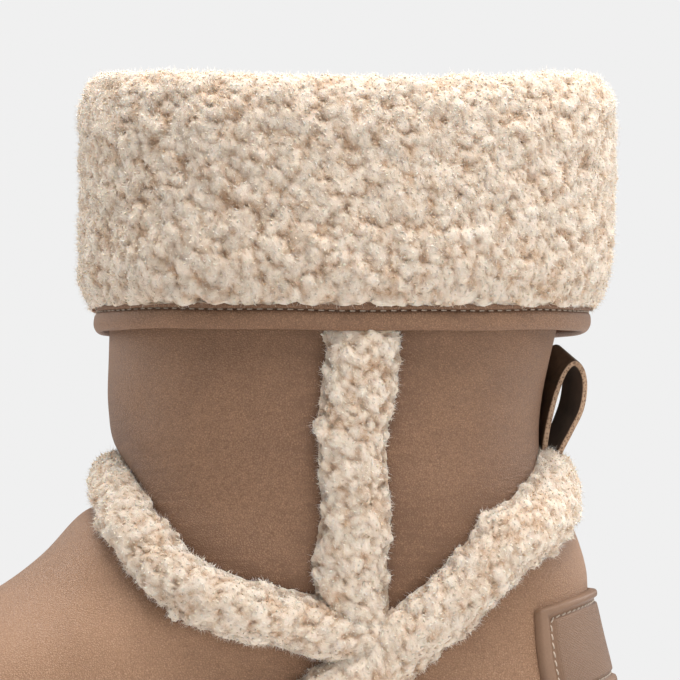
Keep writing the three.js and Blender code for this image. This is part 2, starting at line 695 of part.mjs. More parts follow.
// The strap of the pull loop, a ribbon whose upper part leans over to the outer side.
const loopSteps = 30;
function pullLoop(grow) {
  const path = numbered(loopLine);
  const root = leatherPoint(locate(shaftBack, loopRootHeight).row, 0, gap * 3 + strapThickness / 2);
  const at = (order) => {
    const back = follow(path, "order", "back", order);
    const up = follow(path, "order", "up", order);
    return new THREE.Vector3(root.x - back * loopReach, 0, loopRootHeight + up * loopHeight);
  };
  const rings = Array.from({ length: loopSteps + 1 }, (_, i) => {
    const order = (i / loopSteps) * (path.length - 1);
    const lean = follow(path, "order", "lean", order) * loopLean;
    const along = at(order + 0.1).sub(at(order - 0.1)).normalize();
    const wide = new THREE.Vector3(-lean * 0.5, strapWidth / 2, -lean).setLength(strapWidth / 2 + grow);
    const thick = new THREE.Vector3().crossVectors(along, wide).setLength(strapThickness / 2 + grow);
    const centre = at(order);
    if (i === 0) centre.addScaledVector(along, -grow);
    if (i === loopSteps) centre.addScaledVector(along, grow);
    return [
      [1, 1],
      [1, -1],
      [-1, -1],
      [-1, 1],
    ].map(([a, b]) => centre.clone().addScaledVector(wide, a).addScaledVector(thick, b));
  });
  return solidFromRings(rings, fanCap);
}

// The place on the centre-back form that a point of the patch takes: its turn is fixed and its row gives the height.
function patchPlace(turn, height) {
  let low = 0;
  let high = collarRow;
  for (let i = 0; i < 26; i++) {
    const row = (low + high) / 2;
    const point = hull(row, turn);
    const level = height - patchDip * (point.x - hull(row, 0).x);
    if (point.z < level) low = row;
    else high = row;
  }
  return (low + high) / 2;
}

// The patch is a plate wrapped round the heel, with a raised bead along its edge and rounded corners.
function buildHeelPatch() {
  const c = sectionAt(locate(0, patchTop - patchHeight / 2).row);
  const halfTurn = (reach) => Math.acos(1 - (2 * reach) / (c.frontX - c.backX));
  const beadDown = patchBeadWidth / patchHeight;
  const beadAlong = patchBeadWidth / (patchReach * 2.2);
  const acrossSteps = [-1, -1 + beadAlong * 0.5, -1 + beadAlong, -1 + beadAlong * 1.4];
  const middle = [-0.5, -0.2, 0.2, 0.5];
  const across = [...acrossSteps, ...middle, ...acrossSteps.map((a) => -a).reverse()];
  const downSteps = [0, beadDown * 0.5, beadDown, beadDown * 1.4];
  const down = [...downSteps, ...downSteps.map((d) => 1 - d).reverse()];
  const onBead = (a, d) => Math.abs(a) > 1 - beadAlong * 1.2 || d < beadDown * 1.2 || d > 1 - beadDown * 1.2;
  const onEdge = (a, d) => Math.abs(a) === 1 || d === 0 || d === 1;
  const corner = (a, d) => Math.abs(a) === 1 && (d === 0 || d === 1);
  const place = (a, d, out) => {
    const pull = corner(a, d) ? beadAlong * 0.35 : 0;
    const fall = corner(a, d) ? (0.5 - d) * 2 * beadDown * 0.35 : 0;
    const turn = a * (1 - pull) * halfTurn(mix(patchReach, patchFoot, d));
    return leatherPoint(patchPlace(turn, patchTop - (d + fall) * patchHeight), turn, out);
  };
  const faceOut = (a, d) => {
    if (onEdge(a, d)) return gap + patchThickness * 0.7;
    return gap + patchThickness + (onBead(a, d) ? patchBead : 0);
  };
  const face = down.map((d) => across.map((a) => place(a, d, faceOut(a, d))));
  const back = down.map((d) => across.map((a) => place(a, d, -gap * 4)));
  const loops = down.map((_, i) => [...face[i], ...back[i].slice().reverse()]);
  return mainPiece(solidFromRings(loops, plateCap).subtract(fitted));
}

// A cap between a row of face points and the same row of back points.
function plateCap(count, first, flip) {
  const faces = [];
  const add = (a, b, c) => faces.push(...(flip ? [a, b, c] : [a, c, b]).map((i) => first + i));
  for (let j = 0; j < count / 2 - 1; j++) {
    add(j, j + 1, count - j - 2);
    add(j, count - j - 2, count - j - 1);
  }
  return faces;
}

const fitted = leatherForm(gap);
const rimZone = belowRim();
const grownSize = (size) => ({ ...size, grow: gap });
const rearBand = mainPiece(
  fleeceBand(rearBandPath, rearSteps, bandSize).subtract(fitted).subtract(rimZone).subtract(pullLoop(gap)),
);
const rearForm = fleeceBand(rearBandPath, rearSteps, grownSize(bandSize));
const frontBand = mainPiece(fleeceBand(frontBandPath, frontSteps, bandSize).subtract(fitted).subtract(rearForm));
const frontForm = fleeceBand(frontBandPath, frontSteps, grownSize(bandSize));
const sideStrip = (path) =>
  mainPiece(
    fleeceBand(path, stripSteps, stripSize).subtract(fitted).subtract(rearForm).subtract(frontForm).subtract(binding(gap)),
  );

const boot = new THREE.Group();
boot.add(meshOf("sole", buildSole(), rubber));
boot.add(meshOf("insole", buildInsole(), fleece));
boot.add(meshOf("upper", buildUpper(), leather));
boot.add(meshOf("rear_band", rearBand, fleece));
boot.add(meshOf("front_band", frontBand, fleece));
boot.add(meshOf("outer_side_strip", sideStrip(outerStripPath), fleece));
boot.add(meshOf("inner_side_strip", sideStrip(innerStripPath), fleece));
boot.add(meshOf("cuff", buildCuff(), fleece));
boot.add(meshOf("cuff_binding", binding(0), leather));
boot.add(meshOf("pull_loop", pullLoop(0).subtract(fitted), darkLeather));
boot.add(meshOf("heel_patch", buildHeelPatch(), rubber));

const heelRestAt = ((heelLugs.from + heelLugs.to) / 2) * footLength;
boot.children.forEach((mesh) => mesh.position.setX(-heelRestAt));

export default boot;
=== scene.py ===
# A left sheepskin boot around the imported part, with fine leather, curly fleece, stitching, a pull loop,
# a heel patch and a lugged sole.
import json
import math

import bpy
import numpy as np
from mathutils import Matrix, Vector
from mathutils.bvhtree import BVHTree

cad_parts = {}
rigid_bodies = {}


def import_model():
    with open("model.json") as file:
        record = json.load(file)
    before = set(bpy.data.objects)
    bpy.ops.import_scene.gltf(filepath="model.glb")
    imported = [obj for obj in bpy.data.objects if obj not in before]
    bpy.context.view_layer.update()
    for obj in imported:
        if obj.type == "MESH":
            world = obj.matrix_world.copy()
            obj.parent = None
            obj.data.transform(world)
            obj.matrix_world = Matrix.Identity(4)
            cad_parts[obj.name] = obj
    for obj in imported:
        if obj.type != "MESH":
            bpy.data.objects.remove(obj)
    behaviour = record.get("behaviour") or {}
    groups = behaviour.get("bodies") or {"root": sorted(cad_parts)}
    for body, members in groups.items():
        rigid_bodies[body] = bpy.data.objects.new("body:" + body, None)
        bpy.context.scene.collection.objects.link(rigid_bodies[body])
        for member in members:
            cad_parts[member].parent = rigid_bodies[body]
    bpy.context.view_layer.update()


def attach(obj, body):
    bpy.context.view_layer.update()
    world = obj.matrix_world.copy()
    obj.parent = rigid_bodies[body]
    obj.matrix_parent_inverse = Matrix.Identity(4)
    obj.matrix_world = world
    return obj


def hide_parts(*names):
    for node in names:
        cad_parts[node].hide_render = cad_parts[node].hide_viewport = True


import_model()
mm = 0.001

# Sizes of the last, in millimetres. X is measured here from the back of the heel.
last = {
    "footLength": 272, "ballWidth": 99, "lastCurve": 7, "instepHeight": 107, "wall": 2.4, "gap": 0.3,
    "collarHeight": 226, "shaftDepth": 145, "shaftWidth": 105, "shaftBack": 8.5, "heelSeat": 28,
    "endPower": 2.15, "cuffCrown": 11.5, "cuffDrop": 61, "cuffDip": 5.6, "hemDip": 1.4, "hemHug": 0.4,
}
footLength = last["footLength"]
gap = last["gap"]
wall = last["wall"]
cuffTop = last["collarHeight"] + last["cuffCrown"]
cuffLip = last["collarHeight"] - last["cuffDrop"]
cuffRise = cuffTop - cuffLip
heelRestAt = 0.14 * footLength


def table(names, rows):
    # a small table as one array for each named column
    return dict(zip(names.split(), np.array(rows, float).T))


soleLine = table("along seat base", [
    [-0.03, 1.0, 0.09], [0.035, 1.0, 0.0], [0.27, 0.985, 0.0], [0.33, 0.94, 0.11], [0.4, 0.88, 0.17],
    [0.47, 0.82, 0.13], [0.54, 0.77, 0.0], [0.745, 0.75, 0.0], [0.83, 0.78, 0.05], [0.92, 0.86, 0.19],
    [1.03, 1.0, 0.42],
])
plan = table("along outer inner", [
    [0.0, 0.74, 0.74], [0.15, 0.76, 0.74], [0.3, 0.79, 0.7], [0.43, 0.85, 0.7], [0.56, 0.95, 0.83],
    [0.66, 1.0, 0.96], [0.75, 0.98, 1.0], [0.87, 0.9, 0.97], [1.0, 0.82, 0.92],
])
footSections = table("back backUp front frontUp width heelRound toeRound plan sag", [
    [0.0045, 0.0, 0.994, 0.0, 0.975, 0.14, 0.27, 1.0, 1.0],
    [0.0025, 0.07, 0.998, 0.07, 0.985, 0.14, 0.27, 1.0, 1.0],
    [0.0, 0.152, 1.0, 0.17, 1.0, 0.14, 0.27, 1.0, 0.95],
    [0.002, 0.24, 0.988, 0.275, 1.0, 0.145, 0.28, 0.97, 0.8],
    [0.0065, 0.323, 0.955, 0.37, 0.98, 0.15, 0.3, 0.9, 0.65],
    [0.012, 0.405, 0.897, 0.45, 0.955, 0.16, 0.34, 0.8, 0.5],
    [0.018, 0.487, 0.822, 0.53, 0.935, 0.18, 0.38, 0.7, 0.36],
    [0.0235, 0.57, 0.75, 0.6, 0.93, 0.21, 0.42, 0.6, 0.24],
    [0.029, 0.658, 0.689, 0.692, 0.93, 0.25, 0.45, 0.5, 0.14],
    [0.031, 0.747, 0.64, 0.81, 0.935, 0.3, 0.47, 0.38, 0.07],
    [0.0375, 0.835, 0.606, 0.932, 0.945, 0.36, 0.49, 0.25, 0.02],
    [0.0475, 0.924, 0.582, 1.015, 0.955, 0.42, 0.5, 0.15, 0.0],
    [0.0625, 1.01, 0.5685, 1.075, 0.965, 0.46, 0.5, 0.07, 0.0],
])
shaftSections = table("backUp frontUp backIn frontIn width", [
    [0.067, 0.1, 0.081, 0.003, 0.92],
    [0.126, 0.151, 0.0945, 0.005, 0.93],
    [0.193, 0.21, 0.0985, 0.001, 0.94],
    [0.277, 0.282, 0.0915, -0.003, 0.95],
    [0.378, 0.378, 0.0745, -0.001, 0.965],
    [0.496, 0.496, 0.0515, 0.001, 0.98],
    [0.656, 0.656, 0.0275, 0.001, 0.99],
    [0.83, 0.83, 0.01, 0.001, 1.0],
    [1.0, 1.0, 0.0, 0.0, 1.0],
])
rearBandLine = table("along up lift crease width", [
    [0.068, 1.06, 0.0, 0.5, 1.05], [0.112, 0.932, 0.02, 0.42, 1.0], [0.148, 0.853, 0.0, 0.34, 0.96],
    [0.189, 0.748, 0.0, 0.3, 0.95], [0.233, 0.655, 0.05, 0.28, 0.96], [0.299, 0.515, 0.0, 0.2, 1.0],
    [0.379, 0.37, -0.1, 0.12, 1.0], [0.463, 0.22, -0.2, 0.05, 1.0],
])
frontBandLine = table("along up lift crease width", [
    [0.565, 1.075, -0.36, 0.95, 0.8], [0.538, 0.938, -0.2, 0.75, 0.88], [0.485, 0.793, -0.08, 0.45, 0.88],
    [0.414, 0.717, 0.0, 0.32, 0.85], [0.343, 0.675, 0.0, 0.3, 0.88], [0.28, 0.622, -0.1, 0.3, 0.92],
    [0.245, 0.595, -0.2, 0.3, 0.92],
])
stripLine = table("along up lift crease width", [
    [0.2915, 1.56, -0.5, 0.2, 0.9], [0.2915, 1.48, -0.2, 0.26, 0.97], [0.292, 1.38, 0.0, 0.28, 1.0],
    [0.3015, 1.12, 0.0, 0.28, 0.95], [0.302, 0.9, 0.0, 0.28, 0.98], [0.3, 0.73, 0.0, 0.26, 1.02],
    [0.3, 0.64, 0.0, 0.2, 1.02],
])


def follow(keys, values, at):
    # a smooth curve through a table's rows, level at its ends
    at = np.asarray(at, float)
    lastRow = len(keys) - 1
    i = np.clip(np.searchsorted(keys, at, side="left") - 1, 0, lastRow - 1)
    before = np.maximum(np.arange(lastRow + 1) - 1, 0)
    after = np.minimum(np.arange(lastRow + 1) + 1, lastRow)
    slopes = (values[after] - values[before]) / (keys[after] - keys[before])
    span = keys[i + 1] - keys[i]
    t = np.clip((at - keys[i]) / span, 0, 1)
    ease = t * t * (3 - 2 * t)
    bend = t * (1 - t) * span
    return values[i] * (1 - ease) + values[i + 1] * ease + bend * ((1 - t) * slopes[i] - t * slopes[i + 1])


def mix(a, b, share):
    return a + (b - a) * share


def smooth(value, low, high):
    share = np.clip((value - low) / (high - low), 0, 1)
    return share * share * (3 - 2 * share)


def unit(vectors):
    return vectors / np.maximum(np.linalg.norm(vectors, axis=-1, keepdims=True), 1e-9)


def seatHeight(x):
    return last["heelSeat"] * follow(soleLine["along"], soleLine["seat"], x / footLength)


def baseHeight(x):
    return last["heelSeat"] * np.maximum(follow(soleLine["along"], soleLine["base"], x / footLength), 0)


def allSections():
    # every section from the feather edge to the collar, in millimetres
    instepRise = last["instepHeight"] - last["heelSeat"]
    collarRise = last["collarHeight"] - last["instepHeight"]
    shaft = shaftSections
    foot = footSections
    zero = np.zeros(len(shaft["width"]))
    back = last["shaftBack"] + shaft["backIn"] * last["shaftDepth"]
    front = last["shaftBack"] + (1 - shaft["frontIn"]) * last["shaftDepth"]
    return {
        "backX": np.append(foot["back"] * footLength, back),
        "backZ": np.append(last["heelSeat"] + foot["backUp"] * instepRise,
                           last["instepHeight"] + shaft["backUp"] * collarRise),
        "frontX": np.append(foot["front"] * footLength, front),
        "frontZ": np.append(last["heelSeat"] + foot["frontUp"] * instepRise,
                            last["instepHeight"] + shaft["frontUp"] * collarRise),
        "half": np.append(foot["width"] * last["ballWidth"], shaft["width"] * last["shaftWidth"]) / 2,
        "heelRound": np.append(foot["heelRound"], zero + 0.5),
        "toeRound": np.append(foot["toeRound"], zero + 0.5),
        "plan": np.append(foot["plan"], zero),
        "sag": np.append(foot["sag"], zero),
    }


sections = allSections()
sectionRows = np.arange(len(sections["half"]), dtype=float)
collarRow = sectionRows[-1]


def sideDip(height, turn):
    # how far the cuff and the collar sink at the sides
    inCuff = (height - cuffLip) / cuffRise
    below = (height - last["instepHeight"]) / (cuffLip - last["instepHeight"])
    cuffDepth = mix(last["hemDip"], last["cuffDip"], inCuff * inCuff)
    return np.where(inCuff > 0, cuffDepth, last["hemDip"] * np.maximum(below, 0)) * np.sin(turn) ** 2


def endRound(along, heelRound, toeRound):
    past = np.maximum(np.maximum(1 - along / heelRound, 1 - (1 - along) / toeRound), 0)
    return np.maximum(1 - past ** last["endPower"], 0) ** (1 / last["endPower"])


def hull(row, turn):
    # a point of the leather's smooth form: turn is 0 at the back, half a turn at the front, by the outer side
    row, turn = np.broadcast_arrays(np.asarray(row, float), np.asarray(turn, float))
    c = {name: follow(sectionRows, values, row) for name, values in sections.items()}
    along = (1 - np.cos(turn)) / 2
    outer = np.sin(turn) >= 0
    x = mix(c["backX"], c["frontX"], along)
    outerShare = follow(plan["along"], plan["outer"], along)
    innerShare = follow(plan["along"], plan["inner"], along)
    planShare = mix(1, np.where(outer, outerShare, innerShare), c["plan"])
    half = c["half"] * planShare * endRound(along, c["heelRound"], c["toeRound"])
    y = np.where(outer, half, -half) - last["lastCurve"] * c["plan"] * (x / footLength) ** 2
    level = mix(c["backZ"], c["frontZ"], along) + c["sag"] * (seatHeight(x) - last["heelSeat"])
    return np.stack([x, y, level - sideDip(level, turn)], axis=-1)


def outward(row, turn):
    # the direction straight out of the form
    step = 0.02
    low = np.maximum(np.asarray(row, float) - step, 0)
    high = np.minimum(np.asarray(row, float) + step, collarRow)
    around = hull(row, np.asarray(turn) + step) - hull(row, np.asarray(turn) - step)
    rise = hull(high, turn) - hull(low, turn)
    return -unit(np.cross(around, rise))


def locate(x, z):
    # the row and turn of the outer side's point at a place in the side view
    low, high, turn = 0.0, float(collarRow), 0.0
    for _ in range(30):
        row = (low + high) / 2
        back = follow(sectionRows, sections["backX"], row)
        front = follow(sectionRows, sections["frontX"], row)
        turn = math.acos(1 - 2 * min(max((x - back) / (front - back), 0), 1))
        if hull(row, turn)[2] < z:
            low = row
        else:
            high = row
    return (low + high) / 2, turn


def lineOnForm(line, side=1, centre=None):
    # a table's line as rows and turns on the form, mirrored about the centre turn where there is one
    places = [locate(a * footLength, u * last["instepHeight"]) for a, u in zip(line["along"], line["up"])]
    path = {"row": np.array([p[0] for p in places]), "turn": np.array([p[1] for p in places]) * side}
    path.update({name: line[name] for name in ("lift", "crease", "width")})
    if centre is None:
        return path
    path["turn"][0] = centre
    both = {name: np.concatenate([values[:0:-1], values]) for name, values in path.items()}
    both["turn"][:len(places) - 1] = 2 * centre - both["turn"][:len(places) - 1]
    return both


def pathAt(path, order):
    # the values, points and outward directions at places along a path, counted in its rows
    keys = np.arange(len(path["row"]), dtype=float)
    at = {name: follow(keys, values, order) for name, values in path.items()}
    at["point"] = hull(at["row"], at["turn"])
    at["normal"] = outward(at["row"], at["turn"])
    return at


def evenly(path, spacing):
    # places at even distances along a path
    dense = np.linspace(0, len(path["row"]) - 1, 400)
    points = pathAt(path, dense)["point"]
    run = np.append(0, np.cumsum(np.linalg.norm(np.diff(points, axis=0), axis=1)))
    return pathAt(path, np.interp(np.linspace(0, run[-1], int(run[-1] / spacing) + 1), run, dense))


bandSizes = {"width": 22, "height": 9.4, "sink": 4.2, "creaseReach": 7, "liftBy": 9.4}
stripSizes = {"width": 22.5, "height": 7.2, "sink": 2.4, "liftBy": 9.4}
paths = {
    "rear": lineOnForm(rearBandLine, 1, 0.0),
    "front": lineOnForm(frontBandLine, 1, math.pi),
    "outer": lineOnForm(stripLine, 1),
    "inner": lineOnForm(stripLine, -1),
}
creaseLines = [evenly(path, 4) for path in paths.values()]


def creaseDepth(points):
    # how far the leather is drawn in under the bands
    flat = points.reshape(-1, 3)
    depth = np.zeros(len(flat))
    for line in creaseLines:
        for place, crease in zip(line["point"], line["crease"]):
            away = np.sum((flat - place) ** 2, axis=1) / bandSizes["creaseReach"] ** 2
            depth = np.maximum(depth, crease * bandSizes["height"] * np.exp(-away))
    return depth.reshape(points.shape[:-1])


# Soft troughs and ridges of the worn-in leather: two ends as shares along and up, with the depth and reach
# in millimetres.
leatherFolds = [
    {"from": (0.50, 1.22), "to": (0.545, 1.30), "depth": 0.9, "reach": 6},
    {"from": (0.47, 1.10), "to": (0.55, 1.16), "depth": 0.8, "reach": 5},
    {"from": (0.10, 1.22), "to": (0.20, 1.12), "depth": 1.1, "reach": 6},
    {"from": (0.09, 1.36), "to": (0.17, 1.32), "depth": 0.7, "reach": 7},
    {"from": (0.12, 1.06), "to": (0.24, 0.88), "depth": 1.0, "reach": 6},
    {"from": (0.36, 1.45), "to": (0.52, 1.38), "depth": 0.6, "reach": 12},
    {"from": (0.36, 1.0), "to": (0.42, 0.86), "depth": 0.8, "reach": 8},
    {"from": (0.62, 0.80), "to": (0.50, 0.62), "depth": 0.9, "reach": 9},
    {"from": (0.66, 0.62), "to": (0.58, 0.45), "depth": 0.6, "reach": 9},
    {"from": (0.12, 0.66), "to": (0.22, 0.50), "depth": 0.6, "reach": 8},
    {"from": (0.58, 0.92), "to": (0.60, 0.70), "depth": -0.8, "reach": 9},
    {"from": (0.15, 1.20), "to": (0.23, 1.05), "depth": -0.7, "reach": 6},
]


def foldDepth(points):
    # how far the leather's own folds draw it in, the same on both sides
    flat = points.reshape(-1, 3)
    depth = np.zeros(len(flat))
    for fold in leatherFolds:
        for side in (1, -1):
            ends = []
            for along, up in (fold["from"], fold["to"]):
                row, turn = locate(along * footLength, up * last["instepHeight"])
                ends.append(hull(row, turn * side))
            run = ends[1] - ends[0]
            share = np.clip((flat - ends[0]) @ run / (run @ run), 0, 1)
            away = np.linalg.norm(flat - ends[0] - share[:, None] * run, axis=1) / fold["reach"]
            fade = 1 - 0.6 * np.abs(2 * share - 1)
            depth += fold["depth"] * fade * np.exp(-away * away)
    return depth.reshape(points.shape[:-1])


def leatherPoint(row, turn, out):
    # a point at a distance out of the leather's outer face
    points = hull(row, turn)
    rise = out - creaseDepth(points) - foldDepth(points)
    return points + outward(row, turn) * rise[..., None]


# Meshes
def isInsideOut(points, groups):
    # whether the faces of a closed mesh point inwards, by its signed volume
    volume = 0.0
    for group in groups:
        first = points[group[:, 0]]
        for k in range(1, group.shape[1] - 1):
            normal = np.cross(points[group[:, k]], points[group[:, k + 1]])
            volume += np.einsum("ij,ij->i", first, normal).sum()
    return volume < 0


def addObject(name, data):
    made = bpy.data.objects.new(name, data)
    bpy.context.scene.collection.objects.link(made)
    return made


def makeMesh(name, points, faceGroups, attributes=None):
    # a mesh object from millimetre points and groups of faces, turned so that its faces point outwards
    points = np.asarray(points, float).reshape(-1, 3)
    groups = [np.asarray(group, np.int64) for group in faceGroups]
    if isInsideOut(points, groups):
        groups = [group[:, ::-1] for group in groups]
    mesh = bpy.data.meshes.new(name)
    corners = np.concatenate([group.ravel() for group in groups]).astype(np.int32)
    totals = np.concatenate([np.full(len(group), group.shape[1]) for group in groups]).astype(np.int32)
    starts = np.append(0, np.cumsum(totals)[:-1]).astype(np.int32)
    mesh.vertices.add(len(points))
    mesh.vertices.foreach_set("co", ((points - [heelRestAt, 0, 0]) * mm).astype(np.float32).ravel())
    mesh.loops.add(len(corners))
    mesh.loops.foreach_set("vertex_index", corners)
    mesh.polygons.add(len(totals))
    mesh.polygons.foreach_set("loop_start", starts)
    mesh.polygons.foreach_set("loop_total", totals)
    mesh.polygons.foreach_set("use_smooth", np.full(len(totals), True))
    mesh.update(calc_edges=True)
    mesh.validate()
    for label, values in (attributes or {}).items():
        values = np.asarray(values, np.float32)
        isVector = values.shape[-1] == 3
        layer = mesh.attributes.new(label, "FLOAT_VECTOR" if isVector else "FLOAT", "POINT")
        layer.data.foreach_set("vector" if isVector else "value", values.ravel())
    return addObject(name, mesh)


def gridFaces(rows, columns, closeRows=False, closeColumns=True):
    # the quads of a grid of points, closed round its columns and, where asked, its rows
    i = np.arange(rows if closeRows else rows - 1)
    j = np.arange(columns if closeColumns else columns - 1)
    i, j = [a.ravel() for a in np.meshgrid(i, j, indexing="ij")]
    down = (i + 1) % rows
    right = (j + 1) % columns
    corners = ((i, j), (down, j), (down, right), (i, right))
    return np.stack([row * columns + column for row, column in corners], axis=1)


def gridNormals(points, faces):
    # the direction of the faces round each point of a grid
    flat = points.reshape(-1, 3)
    a, b, c, d = [flat[faces[:, k]] for k in range(4)]
    normal = np.cross(c - a, d - b)
    total = np.zeros_like(flat)
    for k in range(4):
        np.add.at(total, faces[:, k], normal)
    return unit(total).reshape(points.shape)


tubeSteps = (0.35, 0.75)


def tube(rings):
    # a closed tube from rings, its ends drawn in to a point
    rings = np.asarray(rings, float)
    count, columns = rings.shape[:2]
    drawnIn = [mix(rings[end], rings[end].mean(axis=0), step) for end in (0, -1) for step in tubeSteps]
    points = tubeValues(rings, drawnIn)
    groups = [gridFaces(count, columns)]
    start = count * columns
    for end, order in ((0, 1), (count - 1, -1)):
        ids = [np.arange(columns) + end * columns]
        ids += [start + k * columns + np.arange(columns) for k in range(len(tubeSteps))]
        for near, far in zip(ids, ids[1:]):
            quad = np.stack([far, near, np.roll(near, -1), np.roll(far, -1)], axis=1)
            groups.append(quad[:, ::order])
        tip = start + len(tubeSteps) * columns
        groups.append(np.stack([np.full(columns, tip), ids[-1], np.roll(ids[-1], -1)], axis=1)[:, ::order])
        start = tip + 1
    return points, groups


def tubeValues(values, drawnIn=None):
    # values on a tube's rings, carried over its drawn-in ends
    values = np.asarray(values, float)
    parts = [values.reshape(-1, *values.shape[2:])]
    for k, end in enumerate((0, -1)):
        for step in range(len(tubeSteps)):
            parts.append(values[end] if drawnIn is None else drawnIn[k * len(tubeSteps) + step])
        parts.append(values[end].mean(axis=0, keepdims=True))
    return np.concatenate(parts)


def roundedOutline(wide, tall, corner, steps):
    # points round a rectangle of two half sizes with round corners
    points = []
    for sideX, sideY, begin in ((1, 1, 0), (-1, 1, 90), (-1, -1, 180), (1, -1, 270)):
        for angle in np.radians(np.linspace(begin, begin + 90, steps)):
            points.append((sideX * (wide - corner) + corner * math.cos(angle),
                           sideY * (tall - corner) + corner * math.sin(angle)))
    return np.array(points)


def turnRow(columns):
    # one row of even turns round the form
    return np.linspace(0, 2 * math.pi, columns, endpoint=False)[None, :]


def finishPiece(piece, material, replaces=()):
    # gives a piece its look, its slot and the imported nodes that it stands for
    piece.data.materials.clear()
    piece.data.materials.append(material)
    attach(piece, "root")
    if replaces:
        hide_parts(*replaces)
    triangles = sum(len(face.vertices) - 2 for face in piece.data.polygons)
    print("made", piece.name, triangles)
    return piece


# Node trees
class Wire:
    # one output in a node tree, with sums and products that add Math nodes
    def __init__(self, graph, socket):
        self.graph = graph
        self.socket = socket

    def out(self, name):
        return Wire(self.graph, self.socket.node.outputs[name])

    def calc(self, operation, other, flipped=False):
        pair = {0: other, 1: self} if flipped else {0: self, 1: other}
        return self.graph.node("ShaderNodeMath", {"operation": operation}, pair)

    def __add__(self, other):
        return self.calc("ADD", other)

    def __sub__(self, other):
        return self.calc("SUBTRACT", other)

    def __rsub__(self, other):
        return self.calc("SUBTRACT", other, True)

    def __mul__(self, other):
        return self.calc("MULTIPLY", other)

    def __truediv__(self, other):
        return self.calc("DIVIDE", other)

    __radd__ = __add__
    __rmul__ = __mul__


class Graph:
    # builds nodes in a shader or geometry tree
    def __init__(self, tree):
        self.tree = tree

    def node(self, kind, settings=None, inputs=None, output=0):
        made = self.tree.nodes.new(kind)
        for name, value in (settings or {}).items():
            if name == "stops":
                elements = made.color_ramp.elements
                while len(elements) < len(value):
                    elements.new(0.5)
                for element, (place, colour) in zip(elements, value):
                    element.position = place
                    element.color = (*colour, 1)
            else:
                setattr(made, name, value)
        for key, value in (inputs or {}).items():
            if isinstance(value, Wire):
                self.tree.links.new(value.socket, made.inputs[key])
            else:
                made.inputs[key].default_value = value
        return Wire(self, made.outputs[output]) if len(made.outputs) else made

    def vector(self, x=0.0, y=0.0, z=0.0):
        return self.node("ShaderNodeCombineXYZ", {}, {0: x, 1: y, 2: z})


class Finish(Graph):
    # a material with one Principled shader
    def __init__(self, name, constants):
        self.material = bpy.data.materials.new(name)
        self.material.use_nodes = True
        super().__init__(self.material.node_tree)
        self.shader = next(n for n in self.tree.nodes if n.type == "BSDF_PRINCIPLED")
        for key, value in constants.items():
            self.shader.inputs[key].default_value = value
        self.place = self.node("ShaderNodeTexCoord", output="Object")

    def noise(self, scale, detail=2, roughness=0.5, distortion=0.0, place=None):
        return self.node("ShaderNodeTexNoise", {}, {
            "Vector": place or self.place, "Scale": scale, "Detail": detail, "Roughness": roughness,
            "Distortion": distortion,
        })

    def cells(self, scale, feature="F1"):
        return self.node("ShaderNodeTexVoronoi", {"feature": feature}, {"Vector": self.place, "Scale": scale})

    def attribute(self, name):
        return self.node("ShaderNodeAttribute", {"attribute_name": name}, output="Fac")

    def blend(self, factor, a, b):
        return self.node("ShaderNodeMix", {"data_type": "RGBA"}, {0: factor, 6: a, 7: b}, output=2)

    def ramp(self, factor, stops):
        return self.node("ShaderNodeValToRGB", {"stops": stops}, {"Fac": factor}, output="Color")

    def span(self, value, low, high, toLow=0.0, toHigh=1.0):
        return self.node("ShaderNodeMapRange", {}, {
            "Value": value, "From Min": low, "From Max": high, "To Min": toLow, "To Max": toHigh,
        })

    def stretched(self, scale):
        return self.node("ShaderNodeMapping", {}, {"Vector": self.place, "Scale": scale})

    def bump(self, height, strength, distance):
        return self.node("ShaderNodeBump", {}, {
            "Height": height, "Strength": strength, "Distance": distance * mm,
        })

    def give(self, **links):
        for key, value in links.items():
            self.tree.links.new(value.socket, self.shader.inputs[key.replace("_", " ")])
        return self.material


def fleeceFinish(name, tops, middles, roots, glow=0.35):
    # wool: tops, middles and roots are its shades by height, the darker roots partly the wool's own tint and
    # partly painted shade in the crevices, with streaks along the locks' fibres
    finish = Finish(name, {
        "Sheen Weight": 0.15, "Sheen Roughness": 0.55, "Sheen Tint": (1.0, 0.84, 0.7, 1),
        "Specular IOR Level": 0.1, "Subsurface Weight": glow, "Subsurface Radius": (1.0, 0.62, 0.4),
        "Subsurface Scale": 1.2 * mm,
    })
    height = finish.attribute("curl")
    strand = finish.attribute("strand")
    lay = finish.node("ShaderNodeAttribute", {"attribute_name": "lay"}, output="Vector")
    mottle = finish.noise(150, 3, 0.6)
    fibre = finish.noise(2600, 3, 0.7, 1.2)
    streak = finish.noise(3.0, 3, 0.6, 0.7, lay)
    level = 0.08 + 0.6 * height + 0.3 * (mottle - 0.5) + 0.22 * (fibre - 0.5)
    level = level + 0.85 * (streak - 0.5) + 0.1 * strand
    colour = finish.ramp(level, [(0.08, roots), (0.42, middles), (0.8, tops)])
    return finish.give(
        Base_Color=colour,
        Roughness=finish.span(fibre, 0.2, 0.8, 0.86, 1.0),
        Normal=finish.bump(streak + 0.35 * fibre, 1.0, 0.28),
    )


